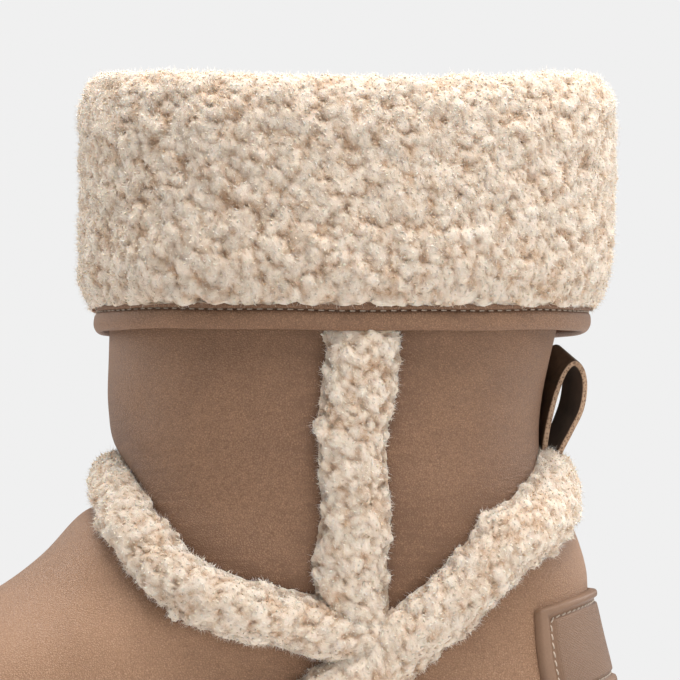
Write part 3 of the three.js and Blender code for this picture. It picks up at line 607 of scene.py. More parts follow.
def leatherFinish(name, pale, light, mid, dark):
    # fine grain, with wrinkles and painted shade next to the bands, and painted light that makes the foot
    # paler than the shaft
    finish = Finish(name, {"Sheen Weight": 0.05, "Sheen Roughness": 0.5, "Specular IOR Level": 0.4})
    cloud = finish.noise(16, 3, 0.55)
    patch = finish.noise(75, 4, 0.6, 0.4)
    speckle = finish.noise(2400, 2, 0.6)
    grain = finish.span(finish.cells(1500, "DISTANCE_TO_EDGE"), 0.0, 0.3)
    fine = 0.6 * grain + 0.4 * speckle
    shade = 0.3 * cloud + 0.15 * patch + 0.275 + 0.32 * (fine - 0.5) + 0.45 * (speckle - 0.5)
    beside = finish.attribute("beside")
    wrinkle = finish.noise(1.0, 2, 0.5, 0.6, finish.stretched((130, 130, 620)))
    # painted shade darkens the leather next to the bands; painted light lifts the foot below them
    shade = shade + beside * (0.5 * (wrinkle - 0.5) - 0.15) + 0.15 * finish.attribute("foot")
    colour = finish.ramp(shade, [(0.34, dark), (0.5, mid), (0.66, light), (0.82, pale)])
    return finish.give(
        Base_Color=colour,
        Roughness=finish.span(patch + 0.3 * speckle, 0.4, 1.0, 0.5, 0.66),
        Normal=finish.bump(fine + 2.2 * beside * wrinkle, 0.9, 0.22),
    )


weaveTurns = 5.2  # radians a step of the patch's weave


def rubberFinish(name, light, dark, shine, woven=False):
    # matt rubber, with a diagonal weave in the patch's panel
    finish = Finish(name, {"Specular IOR Level": 0.4})
    cloud = finish.noise(30, 3, 0.55)
    speck = finish.noise(2200, 3, 0.6)
    height = 0.4 * speck
    shade = 0.6 * cloud + 0.4 * speck
    if woven:
        across = finish.attribute("across")
        down = finish.attribute("down")
        rising = finish.node("ShaderNodeMath", {"operation": "SINE"}, {0: weaveTurns * (across + down)})
        falling = finish.node("ShaderNodeMath", {"operation": "SINE"}, {0: weaveTurns * (across - down)})
        weave = finish.attribute("panel") * rising * falling
        height = height + 1.1 * weave
        shade = shade + 0.08 * weave
    colour = finish.ramp(shade, [(0.38, dark), (0.62, light)])
    return finish.give(
        Base_Color=colour,
        Roughness=finish.span(cloud, 0.3, 0.7, shine, shine + 0.15),
        Normal=finish.bump(height, 0.8, 0.12),
    )


def strapFinish():
    # polished outer face, suede inside and a raw cut edge
    finish = Finish("polished strap leather", {"Specular IOR Level": 0.5})
    edge = finish.attribute("edge")
    inside = finish.attribute("inside")
    cloud = finish.noise(60, 3, 0.6)
    grain = finish.noise(900, 3, 0.6)
    specks = finish.cells(1500)
    face = finish.ramp(0.7 * cloud + 0.3 * grain, [(0.35, (0.035, 0.022, 0.014)), (0.65, (0.13, 0.08, 0.05))])
    suede = finish.ramp(cloud, [(0.35, (0.030, 0.019, 0.012)), (0.7, (0.085, 0.053, 0.035))])
    cut = finish.ramp(specks, [
        (0.2, (0.10, 0.055, 0.03)), (0.45, (0.33, 0.205, 0.125)), (0.8, (0.42, 0.28, 0.18)),
    ])
    colour = finish.blend(edge, finish.blend(inside, face, suede), cut)
    return finish.give(
        Base_Color=colour,
        Roughness=0.3 + 0.35 * edge + 0.45 * inside + 0.12 * cloud,
        Normal=finish.bump(grain + 0.6 * edge * specks, 0.5, 0.12),
    )


creamShades = (0.76, 0.675, 0.58), (0.69, 0.565, 0.45), (0.55, 0.365, 0.24)
creamFleece = fleeceFinish("cream fleece", *creamShades)
creamStrands = fleeceFinish("cream strands", *creamShades, glow=0.55)  # thin enough for light to pass through
liningFleece = fleeceFinish("lining fleece", (0.76, 0.67, 0.57), (0.64, 0.53, 0.42), (0.42, 0.31, 0.22))
brownLeather = leatherFinish(
    "brown nappa", (0.375, 0.228, 0.142), (0.300, 0.168, 0.096), (0.222, 0.118, 0.064), (0.145, 0.072, 0.037),
)
soleRubber = rubberFinish("sole rubber", (0.235, 0.138, 0.086), (0.180, 0.103, 0.062), 0.55)
patchRubber = rubberFinish("patch rubber", (0.205, 0.120, 0.074), (0.160, 0.090, 0.054), 0.45, woven=True)
strapLeather = strapFinish()
threadCord = Finish("waxed thread", {"Base Color": (0.46, 0.37, 0.29, 1), "Roughness": 0.55})
threadTwist = threadCord.noise(2500, 2, 0.5)
threadFinish = threadCord.give(Normal=threadCord.bump(threadTwist, 0.6, 0.08))


# Geometry Nodes
def geometryTree(name, inputs):
    # a tree with a geometry in and out, and named inputs for its sizes
    tree = bpy.data.node_groups.new(name, "GeometryNodeTree")
    tree.interface.new_socket("Geometry", in_out="INPUT", socket_type="NodeSocketGeometry")
    for label, kind in inputs.items():
        tree.interface.new_socket(label, in_out="INPUT", socket_type=kind)
    tree.interface.new_socket("Geometry", in_out="OUTPUT", socket_type="NodeSocketGeometry")
    graph = Graph(tree)
    start = graph.node("NodeGroupInput")
    return graph, {label: start.out(label) for label in ("Geometry", *inputs)}


def endTree(graph, geometry, material):
    # ends a tree with its instances made real, in one material
    real = graph.node("GeometryNodeRealizeInstances", {}, {"Geometry": geometry})
    painted = graph.node("GeometryNodeSetMaterial", {}, {"Geometry": real, "Material": material})
    graph.node("NodeGroupOutput", {}, {"Geometry": painted})


def grow(name, tree, source, values):
    # the plain mesh that a tree makes on a source object
    carrier = addObject(name, source.data)
    modifier = carrier.modifiers.new("nodes", "NODES")
    modifier.node_group = tree
    for item in tree.interface.items_tree:
        if item.in_out == "INPUT" and item.name in values:
            modifier[item.identifier] = values[item.name]
    bpy.context.view_layer.update()
    graph = bpy.context.evaluated_depsgraph_get()
    mesh = bpy.data.meshes.new_from_object(carrier.evaluated_get(graph), depsgraph=graph)
    carrier.modifiers.remove(modifier)
    bpy.data.objects.remove(carrier)
    for face in mesh.polygons:
        face.use_smooth = True
    return addObject(name, mesh)


def wispTree():
    # tapering bent wisps of wool on seeded spots of a fleece surface, that lean together lock by lock
    graph, given = geometryTree("wool wisps", {
        "Spacing": "NodeSocketFloat", "Density": "NodeSocketFloat", "Length": "NodeSocketFloat",
        "Radius": "NodeSocketFloat", "Bend": "NodeSocketFloat", "Segments": "NodeSocketInt",
        "Lean": "NodeSocketFloat", "Stray": "NodeSocketFloat", "Locks": "NodeSocketFloat",
        "Seed": "NodeSocketInt", "Where": "NodeSocketString",
    })
    node = graph.node
    wool = node("GeometryNodeInputNamedAttribute", {"data_type": "FLOAT"}, {"Name": given["Where"]})
    spots = node("GeometryNodeDistributePointsOnFaces", {"distribute_method": "POISSON"}, {
        "Mesh": given["Geometry"], "Distance Min": given["Spacing"], "Density Max": given["Density"],
        "Density Factor": wool, "Seed": given["Seed"],
    })
    place = node("GeometryNodeInputPosition")
    swirl = node("ShaderNodeTexNoise", {}, {
        "Vector": place, "Scale": given["Locks"], "Detail": 1.0,
    }, output="Color")
    parts = node("ShaderNodeSeparateXYZ", {}, {0: swirl})
    stray = given["Stray"]
    low = graph.vector(0 - stray, 0 - stray, 0 - 2 * stray)
    high = graph.vector(stray, stray, 2 * stray)
    chance = node("ShaderNodeSeparateXYZ", {}, {
        0: node("FunctionNodeRandomValue", {"data_type": "FLOAT_VECTOR"}, {0: low, 1: high, 8: 3}),
    })
    lean = given["Lean"]
    tilt = graph.vector(
        4 * lean * (parts.out("X") - 0.5) + chance.out("X"),
        4 * lean * (parts.out("Y") - 0.5) + chance.out("Y"),
        14 * parts.out("Z") + chance.out("Z"),
    )
    turned = node("FunctionNodeRotateRotation", {"rotation_space": "LOCAL"}, {
        0: spots.out("Rotation"), 1: node("FunctionNodeEulerToRotation", {}, {0: tilt}),
    })
    size = node("FunctionNodeRandomValue", {"data_type": "FLOAT"}, {2: 0.6, 3: 1.35, 8: 7}, output=1)
    cone = node("GeometryNodeMeshCone", {"fill_type": "NGON"}, {
        "Vertices": 3, "Side Segments": given["Segments"], "Radius Top": 0.0,
        "Radius Bottom": given["Radius"],
        "Depth": given["Length"],
    }, output="Mesh")
    height = node("ShaderNodeSeparateXYZ", {}, {0: place}).out("Z")
    curled = given["Bend"] * height * height
    bent = graph.vector(curled, 0.3 * curled, -0.55 * curled - 0.15 * given["Length"])
    marked = node("GeometryNodeStoreNamedAttribute", {"data_type": "FLOAT", "domain": "POINT"}, {
        "Geometry": cone, "Name": "strand", "Value": 0.2 + 0.8 * (height / given["Length"]),
    })
    wisp = node("GeometryNodeSetPosition", {}, {"Geometry": marked, "Offset": bent})
    placed = node("GeometryNodeInstanceOnPoints", {}, {
        "Points": spots, "Instance": wisp, "Rotation": turned, "Scale": size,
    })
    endTree(graph, placed, creamStrands)
    return graph.tree


def stitchTree():
    # stitches of one length along a path, each a rounded thread that dips at both ends
    graph, given = geometryTree("stitches", {
        "Pitch": "NodeSocketFloat", "Length": "NodeSocketFloat", "Thread": "NodeSocketFloat",
        "Slant": "NodeSocketFloat",
    })
    node = graph.node
    spots = node("GeometryNodeCurveToPoints", {"mode": "LENGTH"}, {
        "Curve": given["Geometry"], "Length": given["Pitch"],
    })
    length = given["Length"]
    dip = given["Thread"]
    start = graph.vector(0 - dip, z=-0.5 * length)
    middle = graph.vector(1.3 * dip)
    end = graph.vector(0 - dip, z=0.5 * length)
    arc = node("GeometryNodeCurveQuadraticBezier", {}, {
        "Resolution": 5, "Start": start, "Middle": middle, "End": end,
    })
    profile = node("GeometryNodeCurvePrimitiveCircle", {}, {"Resolution": 6, "Radius": given["Thread"]})
    strand = node("GeometryNodeCurveToMesh", {}, {"Curve": arc, "Profile Curve": profile, "Fill Caps": True})
    slant = node("FunctionNodeEulerToRotation", {}, {0: graph.vector(given["Slant"])})
    slanted = node("FunctionNodeRotateRotation", {"rotation_space": "LOCAL"}, {
        0: spots.out("Rotation"), 1: slant,
    })
    placed = node("GeometryNodeInstanceOnPoints", {}, {
        "Points": spots, "Instance": strand, "Rotation": slanted,
    })
    endTree(graph, placed, threadFinish)
    return graph.tree


wisps = wispTree()
stitches = stitchTree()
wispSizes = {
    "Spacing": 1.4 * mm, "Density": 3500000.0, "Length": 1.25 * mm, "Radius": 0.42 * mm, "Bend": 0.5 / mm,
    "Segments": 2, "Lean": 1.05, "Stray": 0.35, "Locks": 330.0, "Seed": 4, "Where": "wool",
}
hairSizes = {
    "Spacing": 0.5 * mm, "Density": 4200000.0, "Length": 2.1 * mm, "Radius": 0.07 * mm, "Bend": 0.0,
    "Segments": 1, "Lean": 0.9, "Stray": 0.8, "Locks": 500.0, "Seed": 9, "Where": "hair",
}


def dress(piece):
    # wisps and single hairs on a fleece piece
    for label, sizes in (("wisps", wispSizes), ("hairs", hairSizes)):
        finishPiece(grow(f"{piece.name}_{label}", wisps, piece, sizes), creamStrands)


# Scatter and noise for the fleece
def scatter(cells, kind):
    # the same random share for the same cell each time
    code = np.sin(cells @ np.array([127.1, 311.7, 74.7]) + kind * 19.19) * 43758.5453
    return code - np.floor(code)


def scattered(points, size, kind, slow, quick):
    # each cell near each point, with the way to the point from the cell's own spot, in shares of the size;
    # slow and quick are the depth and pitch of two waves that keep the cells from lining up
    flat = points.reshape(-1, 3) / size
    bend = slow[0] * np.sin(flat[:, [1, 2, 0]] * slow[1] + kind)
    bend = bend + quick[0] * np.sin(flat[:, [2, 0, 1]] * quick[1] + 2 * kind)
    flat = flat + bend
    base = np.floor(flat)
    for step in np.ndindex(3, 3, 3):
        cell = base + np.subtract(step, 1)
        jitter = np.stack([scatter(cell, kind + k) for k in (1, 2, 3)], axis=1)
        yield cell, flat - cell - 0.5 - (jitter - 0.5) * 0.9


def curlField(points, size, kind):
    # distance to the nearest scattered curl centre in shares of its size
    best = np.full(points.size // 3, 9.0)
    for _, away in scattered(points, size, kind, (0.22, 2.3), (0.12, 4.9)):
        best = np.minimum(best, np.linalg.norm(away, axis=1))
    return best.reshape(points.shape[:-1])


def lockField(points, size, kind):
    # how high the tallest lock of wool stands at each point in shares of the locks' size, that lock's random
    # share, and the point's place in it, drawn together along the lock's fibres
    count = points.size // 3
    best = np.zeros(count)
    share = np.zeros(count)
    lay = np.zeros((count, 3))
    for cell, away in scattered(points, size, kind, (0.16, 2.1), (0.1, 5.3)):
        axis = unit(np.stack([scatter(cell, kind + k) - 0.5 for k in (5, 6, 7)], axis=1))
        along = (away * axis).sum(axis=1)
        chance = scatter(cell, kind + 4)
        reach = 0.58 + 0.34 * chance
        square = (away * away).sum(axis=1) - 0.5 * along * along
        rise = reach * np.sqrt(np.clip(1 - square / reach ** 2, 0, 1))
        taller = rise > best
        best = np.where(taller, rise, best)
        share = np.where(taller, chance, share)
        lay = np.where(taller[:, None], away - 0.88 * along[:, None] * axis + 3 * chance[:, None], lay)
    shape = points.shape[:-1]
    return best.reshape(shape), share.reshape(shape), (lay * size).reshape(points.shape)


fleeceLook = {
    "lockSize": 2.8, "lockHeight": 1.9, "smallSize": 1.5, "smallHeight": 0.35, "clumpSize": 9,
    "clumpHeight": 1.9, "lower": 2.2, "boldLift": 0.5,
}


def growFleece(points, faces, mask, outside=1, bolder=0.0):
    # raises locks on a fleece surface, bolder where asked, and gives the values that its finish reads
    normals = gridNormals(points, faces) * outside
    look = fleeceLook
    clump = curlField(points, look["clumpSize"], 11)
    lock, share, lay = lockField(points, look["lockSize"], 3)
    small, _, _ = lockField(points, look["smallSize"], 7)
    swell = np.clip(1 - clump / 0.9, 0, 1)
    height = look["lockHeight"] * lock + look["smallHeight"] * small + look["clumpHeight"] * (swell - 0.4)
    height = (height - look["lower"]) * (1 + bolder) + bolder * look["boldLift"]
    raised = points + normals * (height * mask)[..., None]
    # the colour mark runs from lock tops down to the crevices between them: partly the roots' own tint,
    # partly painted shade
    shade = np.clip(0.72 * smooth(lock, 0.3, 0.85) + 0.18 * smooth(small, 0.3, 0.85) + 0.1 * share, 0, 1)
    return raised, {"curl": shade, "lay": lay, "wool": mask}


# The upper
upperLook = {
    "columns": 220, "outerRows": 140, "innerRows": 56, "bandShadeReach": 8, "bandHalf": 10, "shadeBelowShare": 0.2,
}


def buildUpper():
    # the leather's two faces in one, marked next to the bands for painted shade and wrinkles, and below the
    # bands for painted light on the foot
    look = upperLook
    turns = turnRow(look["columns"])
    outerRows = np.linspace(0, collarRow, look["outerRows"])[:, None]
    innerRows = np.linspace(collarRow, 0, look["innerRows"])[:, None]
    points = np.concatenate([leatherPoint(outerRows, turns, 0.0), leatherPoint(innerRows, turns, -wall)])
    beside = np.zeros(points.shape[:2])
    shaft = np.ones(points.shape[:2])
    for name, path in paths.items():
        nearest = np.full(points.shape[:2], 1e9)
        over = np.ones(points.shape[:2])
        for spot in evenly(path, 4)["point"]:
            away = np.linalg.norm(points - spot, axis=-1)
            near = np.exp(-np.clip(away - look["bandHalf"], 0, 99) / look["bandShadeReach"])
            above = smooth(points[..., 2] - spot[2], -3, 5) if name in ("rear", "front") else 1
            # painted shade next to the bands: full above them, where the leather turns downward, and a share
            # below
            beside = np.maximum(beside, near * mix(look["shadeBelowShare"], 1, above))
            over = np.where(away < nearest, above, over)
            nearest = np.minimum(nearest, away)
        shaft = shaft * over
    # the foot mark, the leather below the bands, is painted lighter in the finish
    return makeMesh("leather_upper", points, [gridFaces(len(points), look["columns"], closeRows=True)],
                    {"beside": beside.ravel(), "foot": 1 - shaft.ravel()})


upper = finishPiece(buildUpper(), brownLeather, ("upper",))
leatherTree = BVHTree.FromObject(upper, bpy.context.evaluated_depsgraph_get())


def settle(points, clearance, reach=7):
    # moves points that lie inside the upper out to a clearance from it
    moved = points.reshape(-1, 3).copy()
    for k, point in enumerate((moved - [heelRestAt, 0, 0]) * mm):
        spot, normal, _, _ = leatherTree.find_nearest(point, reach * mm)
        if spot is None:
            continue
        if (Vector(point) - spot).dot(normal) < clearance * mm:
            moved[k] = np.array(spot + normal * clearance * mm) / mm + [heelRestAt, 0, 0]
    return moved.reshape(points.shape)


# Fleece bands and strips
rollLook = {
    "spacing": 0.8, "around": 48, "fromAngle": -40, "toAngle": 220, "rimGap": 0.7, "rimRise": 5,
    "sideRise": 0.35, "bolder": 0.7, "frontHair": 0.3,
}


def rollRings(path, sizes):
    # a D-shaped roll of fleece along a path on the form, with how high round its face each point stands
    look = rollLook
    places = evenly(path, look["spacing"])
    forward = unit(np.gradient(places["point"], axis=0))
    across = unit(np.cross(forward, places["normal"]))
    centre = places["point"] + places["normal"] * (places["lift"] * sizes["liftBy"])[:, None]
    angles = np.radians(np.linspace(look["fromAngle"], look["toAngle"], look["around"]))[None, :]
    rise = np.sin(angles)
    wide = (sizes["width"] / 2 * places["width"])[:, None] * np.cos(angles)
    deep = np.where(rise > 0, sizes["height"], sizes["sink"]) * rise * np.ones_like(wide)
    rings = centre[:, None] + across[:, None] * wide[..., None] + places["normal"][:, None] * deep[..., None]
    return rings, np.broadcast_to(rise, deep.shape)


def buildRoll(name, path, sizes):
    # a roll with its wool raised, kept out of the leather and above the sole's rim
    look = rollLook
    rings, rise = rollRings(path, sizes)
    mask = smooth(rise, -0.5, 0.05)
    faces = gridFaces(len(rings), rings.shape[1])
    middle = rings.mean(axis=1, keepdims=True)
    normals = gridNormals(rings, faces)
    outside = 1 if np.sum(normals * (rings - middle)) > 0 else -1
    low = 1 - smooth(rise, look["sideRise"], look["sideRise"] + 0.3)
    rings, values = growFleece(rings, faces, mask, outside, look["bolder"] * low)
    values["hair"] = mask * mix(look["frontHair"], 1, low)
    rings = settle(rings, gap)
    rim = seatHeight(rings[..., 0]) + look["rimRise"] + look["rimGap"]
    rings[..., 2] = np.maximum(rings[..., 2], rim)
    points, groups = tube(rings)
    return makeMesh(name, points, groups, {label: tubeValues(value) for label, value in values.items()})


rolls = (
    ("rear_fleece_band", "rear", bandSizes, "rear_band"),
    ("front_fleece_band", "front", bandSizes, "front_band"),
    ("outer_fleece_strip", "outer", stripSizes, "outer_side_strip"),
    ("inner_fleece_strip", "inner", stripSizes, "inner_side_strip"),
)
for name, pathName, sizes, node in rolls:
    dress(finishPiece(buildRoll(name, paths[pathName], sizes), creamFleece, (node,)))

# The turned-down cuff
cuffLook = {
    "pile": 9.8, "clearance": 0.6, "bindingOff": 1.0, "bindingThick": 3.8, "spacing": 0.88, "columns": 530,
    "lipRaise": 0.022, "insideShare": 0.3, "hangSize": 6, "hangReach": 9, "hang": 2.8, "hairShare": 0.55,
}
clear = cuffLook["clearance"]
overCollar = (last["cuffDrop"] + clear) / cuffRise
hemOut = cuffLook["bindingOff"] + cuffLook["bindingThick"] + gap
pile = cuffLook["pile"]
lip = cuffLook["lipRaise"]
cuffProfile = table("out up hug wool", [
    [cuffLook["bindingOff"], 0.078, 0.4, 0], [1.2, 0.45, 0.5, 0], [clear, overCollar - 0.05, 1, 0],
    [clear, overCollar, 1, 0], [-wall - clear, overCollar, 1, 0], [-wall - clear, 0.6, 1, 0],
    [-wall - pile * 0.7, 0.6, 1, 0.4], [-wall - pile * 0.86, 0.78, 1, 1], [-wall - pile * 0.6, 0.94, 1, 1],
    [-wall * 0.5, 0.995, 1, 1], [pile * 0.52, 0.985, 0.5, 1], [pile * 0.9, 0.91, 0, 1], [pile, 0.77, 0.05, 1],
    [pile * 0.98, 0.6, 0.1, 1], [pile * 0.97, 0.43, 0.16, 1], [pile, 0.26, 0.24, 1],
    [pile * 0.95, 0.1 + lip, 0.4, 1], [hemOut + 0.4, lip, 0.4, 0.5], [hemOut, 0.078, 0.4, 0],
])
formRows = np.linspace(0, collarRow, 400)
formHeights = hull(formRows, math.pi / 2)[:, 2]


def collarRing(out, up, hug, turns):
    # points round the collar at a distance out of it, between hanging straight and keeping to the shaft
    height = cuffLip + up * cuffRise
    row = np.interp(np.minimum(height, last["collarHeight"]), formHeights, formRows)
    point = mix(hull(collarRow, turns), hull(row, turns), hug[..., None])
    point = point + unit(outward(collarRow, turns) * [1, 1, 0]) * out[..., None]
    point[..., 2] = height - sideDip(height, turns)
    return point


def profileRings(profile, spacing, turns, hidden=4.0):
    # rings along a closed profile at an even spacing, wider apart where no wool stands
    closed = {name: np.append(values, values[0]) for name, values in profile.items()}
    keys = np.arange(len(closed["out"]), dtype=float)
    step = np.hypot(np.diff(closed["out"]), np.diff(closed["up"]) * cuffRise)
    length = np.append(0, np.cumsum(step / np.where(closed["wool"][1:] > 0, 1, hidden)))
    order = np.interp(np.linspace(0, length[-1], int(length[-1] / spacing), endpoint=False), length, keys)
    row = {name: follow(keys, closed[name], order)[:, None] + 0 * turns for name in closed}
    return collarRing(row["out"], row["up"], row["hug"], turns), np.clip(row["wool"], 0, 1), row["out"]


def buildCuff():
    # the turned-down fleece with the wool just inside the collar, its lowest locks hanging over the lip
    look = cuffLook
    turns = turnRow(look["columns"])
    points, mask, out = profileRings(cuffProfile, look["spacing"], turns)
    faces = gridFaces(len(points), look["columns"], closeRows=True)
    normals = gridNormals(points, faces)
    quarter = look["columns"] // 4
    widest = np.argmax(np.abs(points[:, quarter, 1]))
    outside = 1 if normals[widest, quarter, 1] * points[widest, quarter, 1] > 0 else -1
    hang, _, _ = lockField(points, look["hangSize"], 15)
    nearLip = 1 - smooth(points[..., 2] - cuffLip - lip * cuffRise, 0, look["hangReach"])
    points[..., 2] -= look["hang"] * hang * nearLip * mask * (out > 0)
    points, values = growFleece(points, faces, mask, outside)
    values["wool"] = mask * np.where(out < -wall - 1, look["insideShare"], 1)  # thinner wool down the collar
    values["hair"] = look["hairShare"] * values["wool"]
    return makeMesh("fleece_cuff", points, [faces],
                    {label: value.reshape(points.size // 3, -1) for label, value in values.items()})


def halfOf(piece, name, side):
    # the part of a piece on one side of the centre plane, for growing its wisps and hairs apart
    mesh = piece.data.copy()
    values = np.empty(len(mesh.vertices) * 3, np.float32)
    mesh.vertices.foreach_get("co", values)
    for label in ("wool", "hair"):
        share = np.empty(len(mesh.vertices), np.float32)
        mesh.attributes[label].data.foreach_get("value", share)
        share[values[1::3] * side < 0] = 0
        mesh.attributes[label].data.foreach_set("value", share)
    return addObject(name, mesh)


cuff = finishPiece(buildCuff(), creamFleece, ("cuff",))
for side, label in ((1, "outer"), (-1, "inner")):
    half = halfOf(cuff, f"cuff_{label}", side)
    dress(half)
    bpy.data.objects.remove(half)

# The leather binding under the cuff's lip, with its stitches
bindingLook = {
    "columns": 240, "stitchUp": 164.9, "stitchOut": 3.75, "pitch": 3.0, "stitch": 1.5, "thread": 0.2,
}
bindingProfile = table("out up", [
    [1.0, 169.6], [1.0, 161.5], [1.7, 159.6], [2.9, 159.0], [4.0, 159.5], [4.75, 161.0], [4.8, 162.6],
    [4.5, 164.0], [4.0, 164.6], [3.2, 164.9], [3.9, 165.25], [4.25, 166.0], [4.25, 169.0], [3.9, 169.6],
    [1.0, 169.6],
])


def hemRing(out, up, turns):
    # points round the hem at a distance out of the collar and a height, gently waved
    points = collarRing(out, (up - cuffLip) / cuffRise, np.full(out.shape, last["hemHug"]), turns)
    points[..., 2] += 0.25 * np.sin(3 * turns + 0.6) + 0.12 * np.sin(11 * turns)
    return points


def buildBinding():
    # the binding's profile swept round the hem
    turns = turnRow(bindingLook["columns"])
    keys = np.arange(len(bindingProfile["out"]), dtype=float)
    order = np.linspace(0, keys[-1], 3 * (len(keys) - 1), endpoint=False)
    out, up = (follow(keys, bindingProfile[name], order)[:, None] + 0 * turns for name in ("out", "up"))
    points = hemRing(out, up, turns)
    return makeMesh("leather_binding", points, [gridFaces(*out.shape, closeRows=True)])


def pathCurve(name, points):
    # a closed poly curve through millimetre points
    data = bpy.data.curves.new(name, "CURVE")
    data.dimensions = "3D"
    spline = data.splines.new("POLY")
    spline.points.add(len(points) - 1)
    flat = (np.asarray(points) - [heelRestAt, 0, 0]) * mm
    spline.points.foreach_set("co", np.column_stack([flat, np.ones(len(flat))]).ravel())
    spline.use_cyclic_u = True
    return addObject(name, data)


def sewAlong(name, points, look, slant=0.0):
    # a row of stitches along a closed line of points
    route = pathCurve(name + "_route", points)
    made = grow(name, stitches, route, {
        "Pitch": look["pitch"] * mm, "Length": look["stitch"] * mm, "Thread": look["thread"] * mm,
        "Slant": slant,
    })
    bpy.data.objects.remove(route)
    return finishPiece(made, threadFinish)


finishPiece(buildBinding(), brownLeather, ("cuff_binding",))
seamTurns = turnRow(500)[0]
seamOut = np.full(seamTurns.shape, bindingLook["stitchOut"])
seam = hemRing(seamOut, np.full(seamTurns.shape, bindingLook["stitchUp"]), seamTurns)
sewAlong("binding_stitches", seam, bindingLook)

# The pull loop
loopSizes = {
    "height": 37, "reach": 11, "root": 115.5, "width": 12, "thickness": 1.9, "lean": 3.5, "swing": 2.55,
    "steps": 150, "corner": 0.45, "cutEdge": 0.12, "innerFace": 0.1,
}
loopLine = table("back up lean swing", [
    [0.02, 0.0, 0.0, 0.1], [0.03, 0.25, 0.05, 0.3], [0.09, 0.5, 0.3, 0.7], [0.22, 0.72, 0.7, 1.0],
    [0.45, 0.92, 1.0, 1.2], [0.72, 1.0, 1.0, 1.2], [0.94, 0.93, 0.9, 1.2], [1.0, 0.78, 0.7, 1.2],
    [0.9, 0.58, 0.45, 1.1], [0.62, 0.38, 0.2, 0.95], [0.34, 0.18, 0.05, 0.7], [0.22, 0.0, 0.0, 0.4],
])


def buildLoop():
    # a strap out of the band and back into it, swung a little aside, with its cut edges marked
    size = loopSizes
    keys = np.arange(len(loopLine["back"]), dtype=float)
    order = np.linspace(0, keys[-1], size["steps"])
    start = leatherPoint(np.array(locate(last["shaftBack"], size["root"])[0]), np.array(0.0),
                         np.array(gap * 3 + size["thickness"] / 2))
    back = follow(keys, loopLine["back"], order) * size["reach"]
    up = follow(keys, loopLine["up"], order) * size["height"]
    centre = np.stack([start[0] - back, np.zeros_like(back), size["root"] + up], axis=1)
    lean = follow(keys, loopLine["lean"], order) * size["lean"]
    aside = follow(keys, loopLine["swing"], order) * size["swing"]
    along = unit(np.gradient(centre, axis=0))
    wide = unit(np.stack([-aside, np.full_like(lean, size["width"] / 2), -lean], axis=1))
    thick = unit(np.cross(along, wide))
    half = size["width"] / 2
    deep = size["thickness"] / 2
    section = roundedOutline(half, deep, size["corner"], 4)
    rings = centre[:, None] + wide[:, None] * section[None, :, :1] + thick[:, None] * section[None, :, 1:]
    edge = np.broadcast_to(np.abs(section[:, 0]) > half - size["cutEdge"], rings.shape[:2])
    inside = np.broadcast_to(section[:, 1] > deep - size["innerFace"], rings.shape[:2])
    points, groups = tube(rings)
    marks = {"edge": tubeValues(edge), "inside": tubeValues(inside)}
    return makeMesh("leather_pull_loop", points, groups, marks)


finishPiece(buildLoop(), strapLeather, ("pull_loop",))

# The moulded heel patch: a plate wrapped round the heel with a raised edge, a sewn groove and a woven panel
patchSizes = {
    "top": 81.5, "height": 29, "halfWidth": 34.0, "reach": 24, "foot": 18.5, "thickness": 1.5, "bead": 0.95,
    "beadWidth": 2.9, "grooveAt": 3.6, "grooveWidth": 0.55, "grooveDepth": 0.75, "panelAt": 4.3,
    "panelRise": 0.3, "weave": 0.75, "corner": 1.2, "dip": 0.26, "columns": 146, "rows": 64,
    "seamCorner": 1.6, "pitch": 2.6, "stitch": 1.7, "thread": 0.3,
}


def patchRow(turn, height):
    # the row on the form at each turn and height, for a patch that follows the seat's slope
    low = np.zeros_like(turn)
    high = np.full_like(turn, collarRow)
    for _ in range(24):
        row = (low + high) / 2
        point = hull(row, turn)
        level = height - patchSizes["dip"] * (point[..., 0] - hull(row, 0 * turn)[..., 0])
        below = point[..., 2] < level
        low = np.where(below, row, low)
        high = np.where(below, high, row)
    return (low + high) / 2


def patchMap(a, d):
    # the turn and row of a place on the patch, across from -1 to 1 and down from 0 to 1
    size = patchSizes
    row = locate(0, size["top"] - size["height"] / 2)[0]
    depth = follow(sectionRows, sections["frontX"], row) - follow(sectionRows, sections["backX"], row)
    halfTurn = np.arccos(1 - 2 * mix(size["reach"], size["foot"], d) / depth)
    turn = a * halfTurn
    return patchRow(turn, size["top"] - d * size["height"]), turn


def roundCorners(x, y, wide, tall, corner):
    # draws the corners of a grid in to a radius, and gives each place's distance from the edge
    u = np.clip((np.abs(x) - wide + corner) / corner, 0, 1)
    v = np.clip((np.abs(y) - tall + corner) / corner, 0, 1)
    roundU = u * np.sqrt(1 - v * v / 2)
    roundV = v * np.sqrt(1 - u * u / 2)
    inCorner = (u > 0) & (v > 0)
    x = np.where(inCorner, np.sign(x) * (wide - corner + roundU * corner), x)
    y = np.where(inCorner, np.sign(y) * (tall - corner + roundV * corner), y)
    edge = np.minimum(wide - np.abs(x), tall - np.abs(y))
    return x, y, np.where(inCorner, corner * (1 - np.hypot(roundU, roundV)), edge)


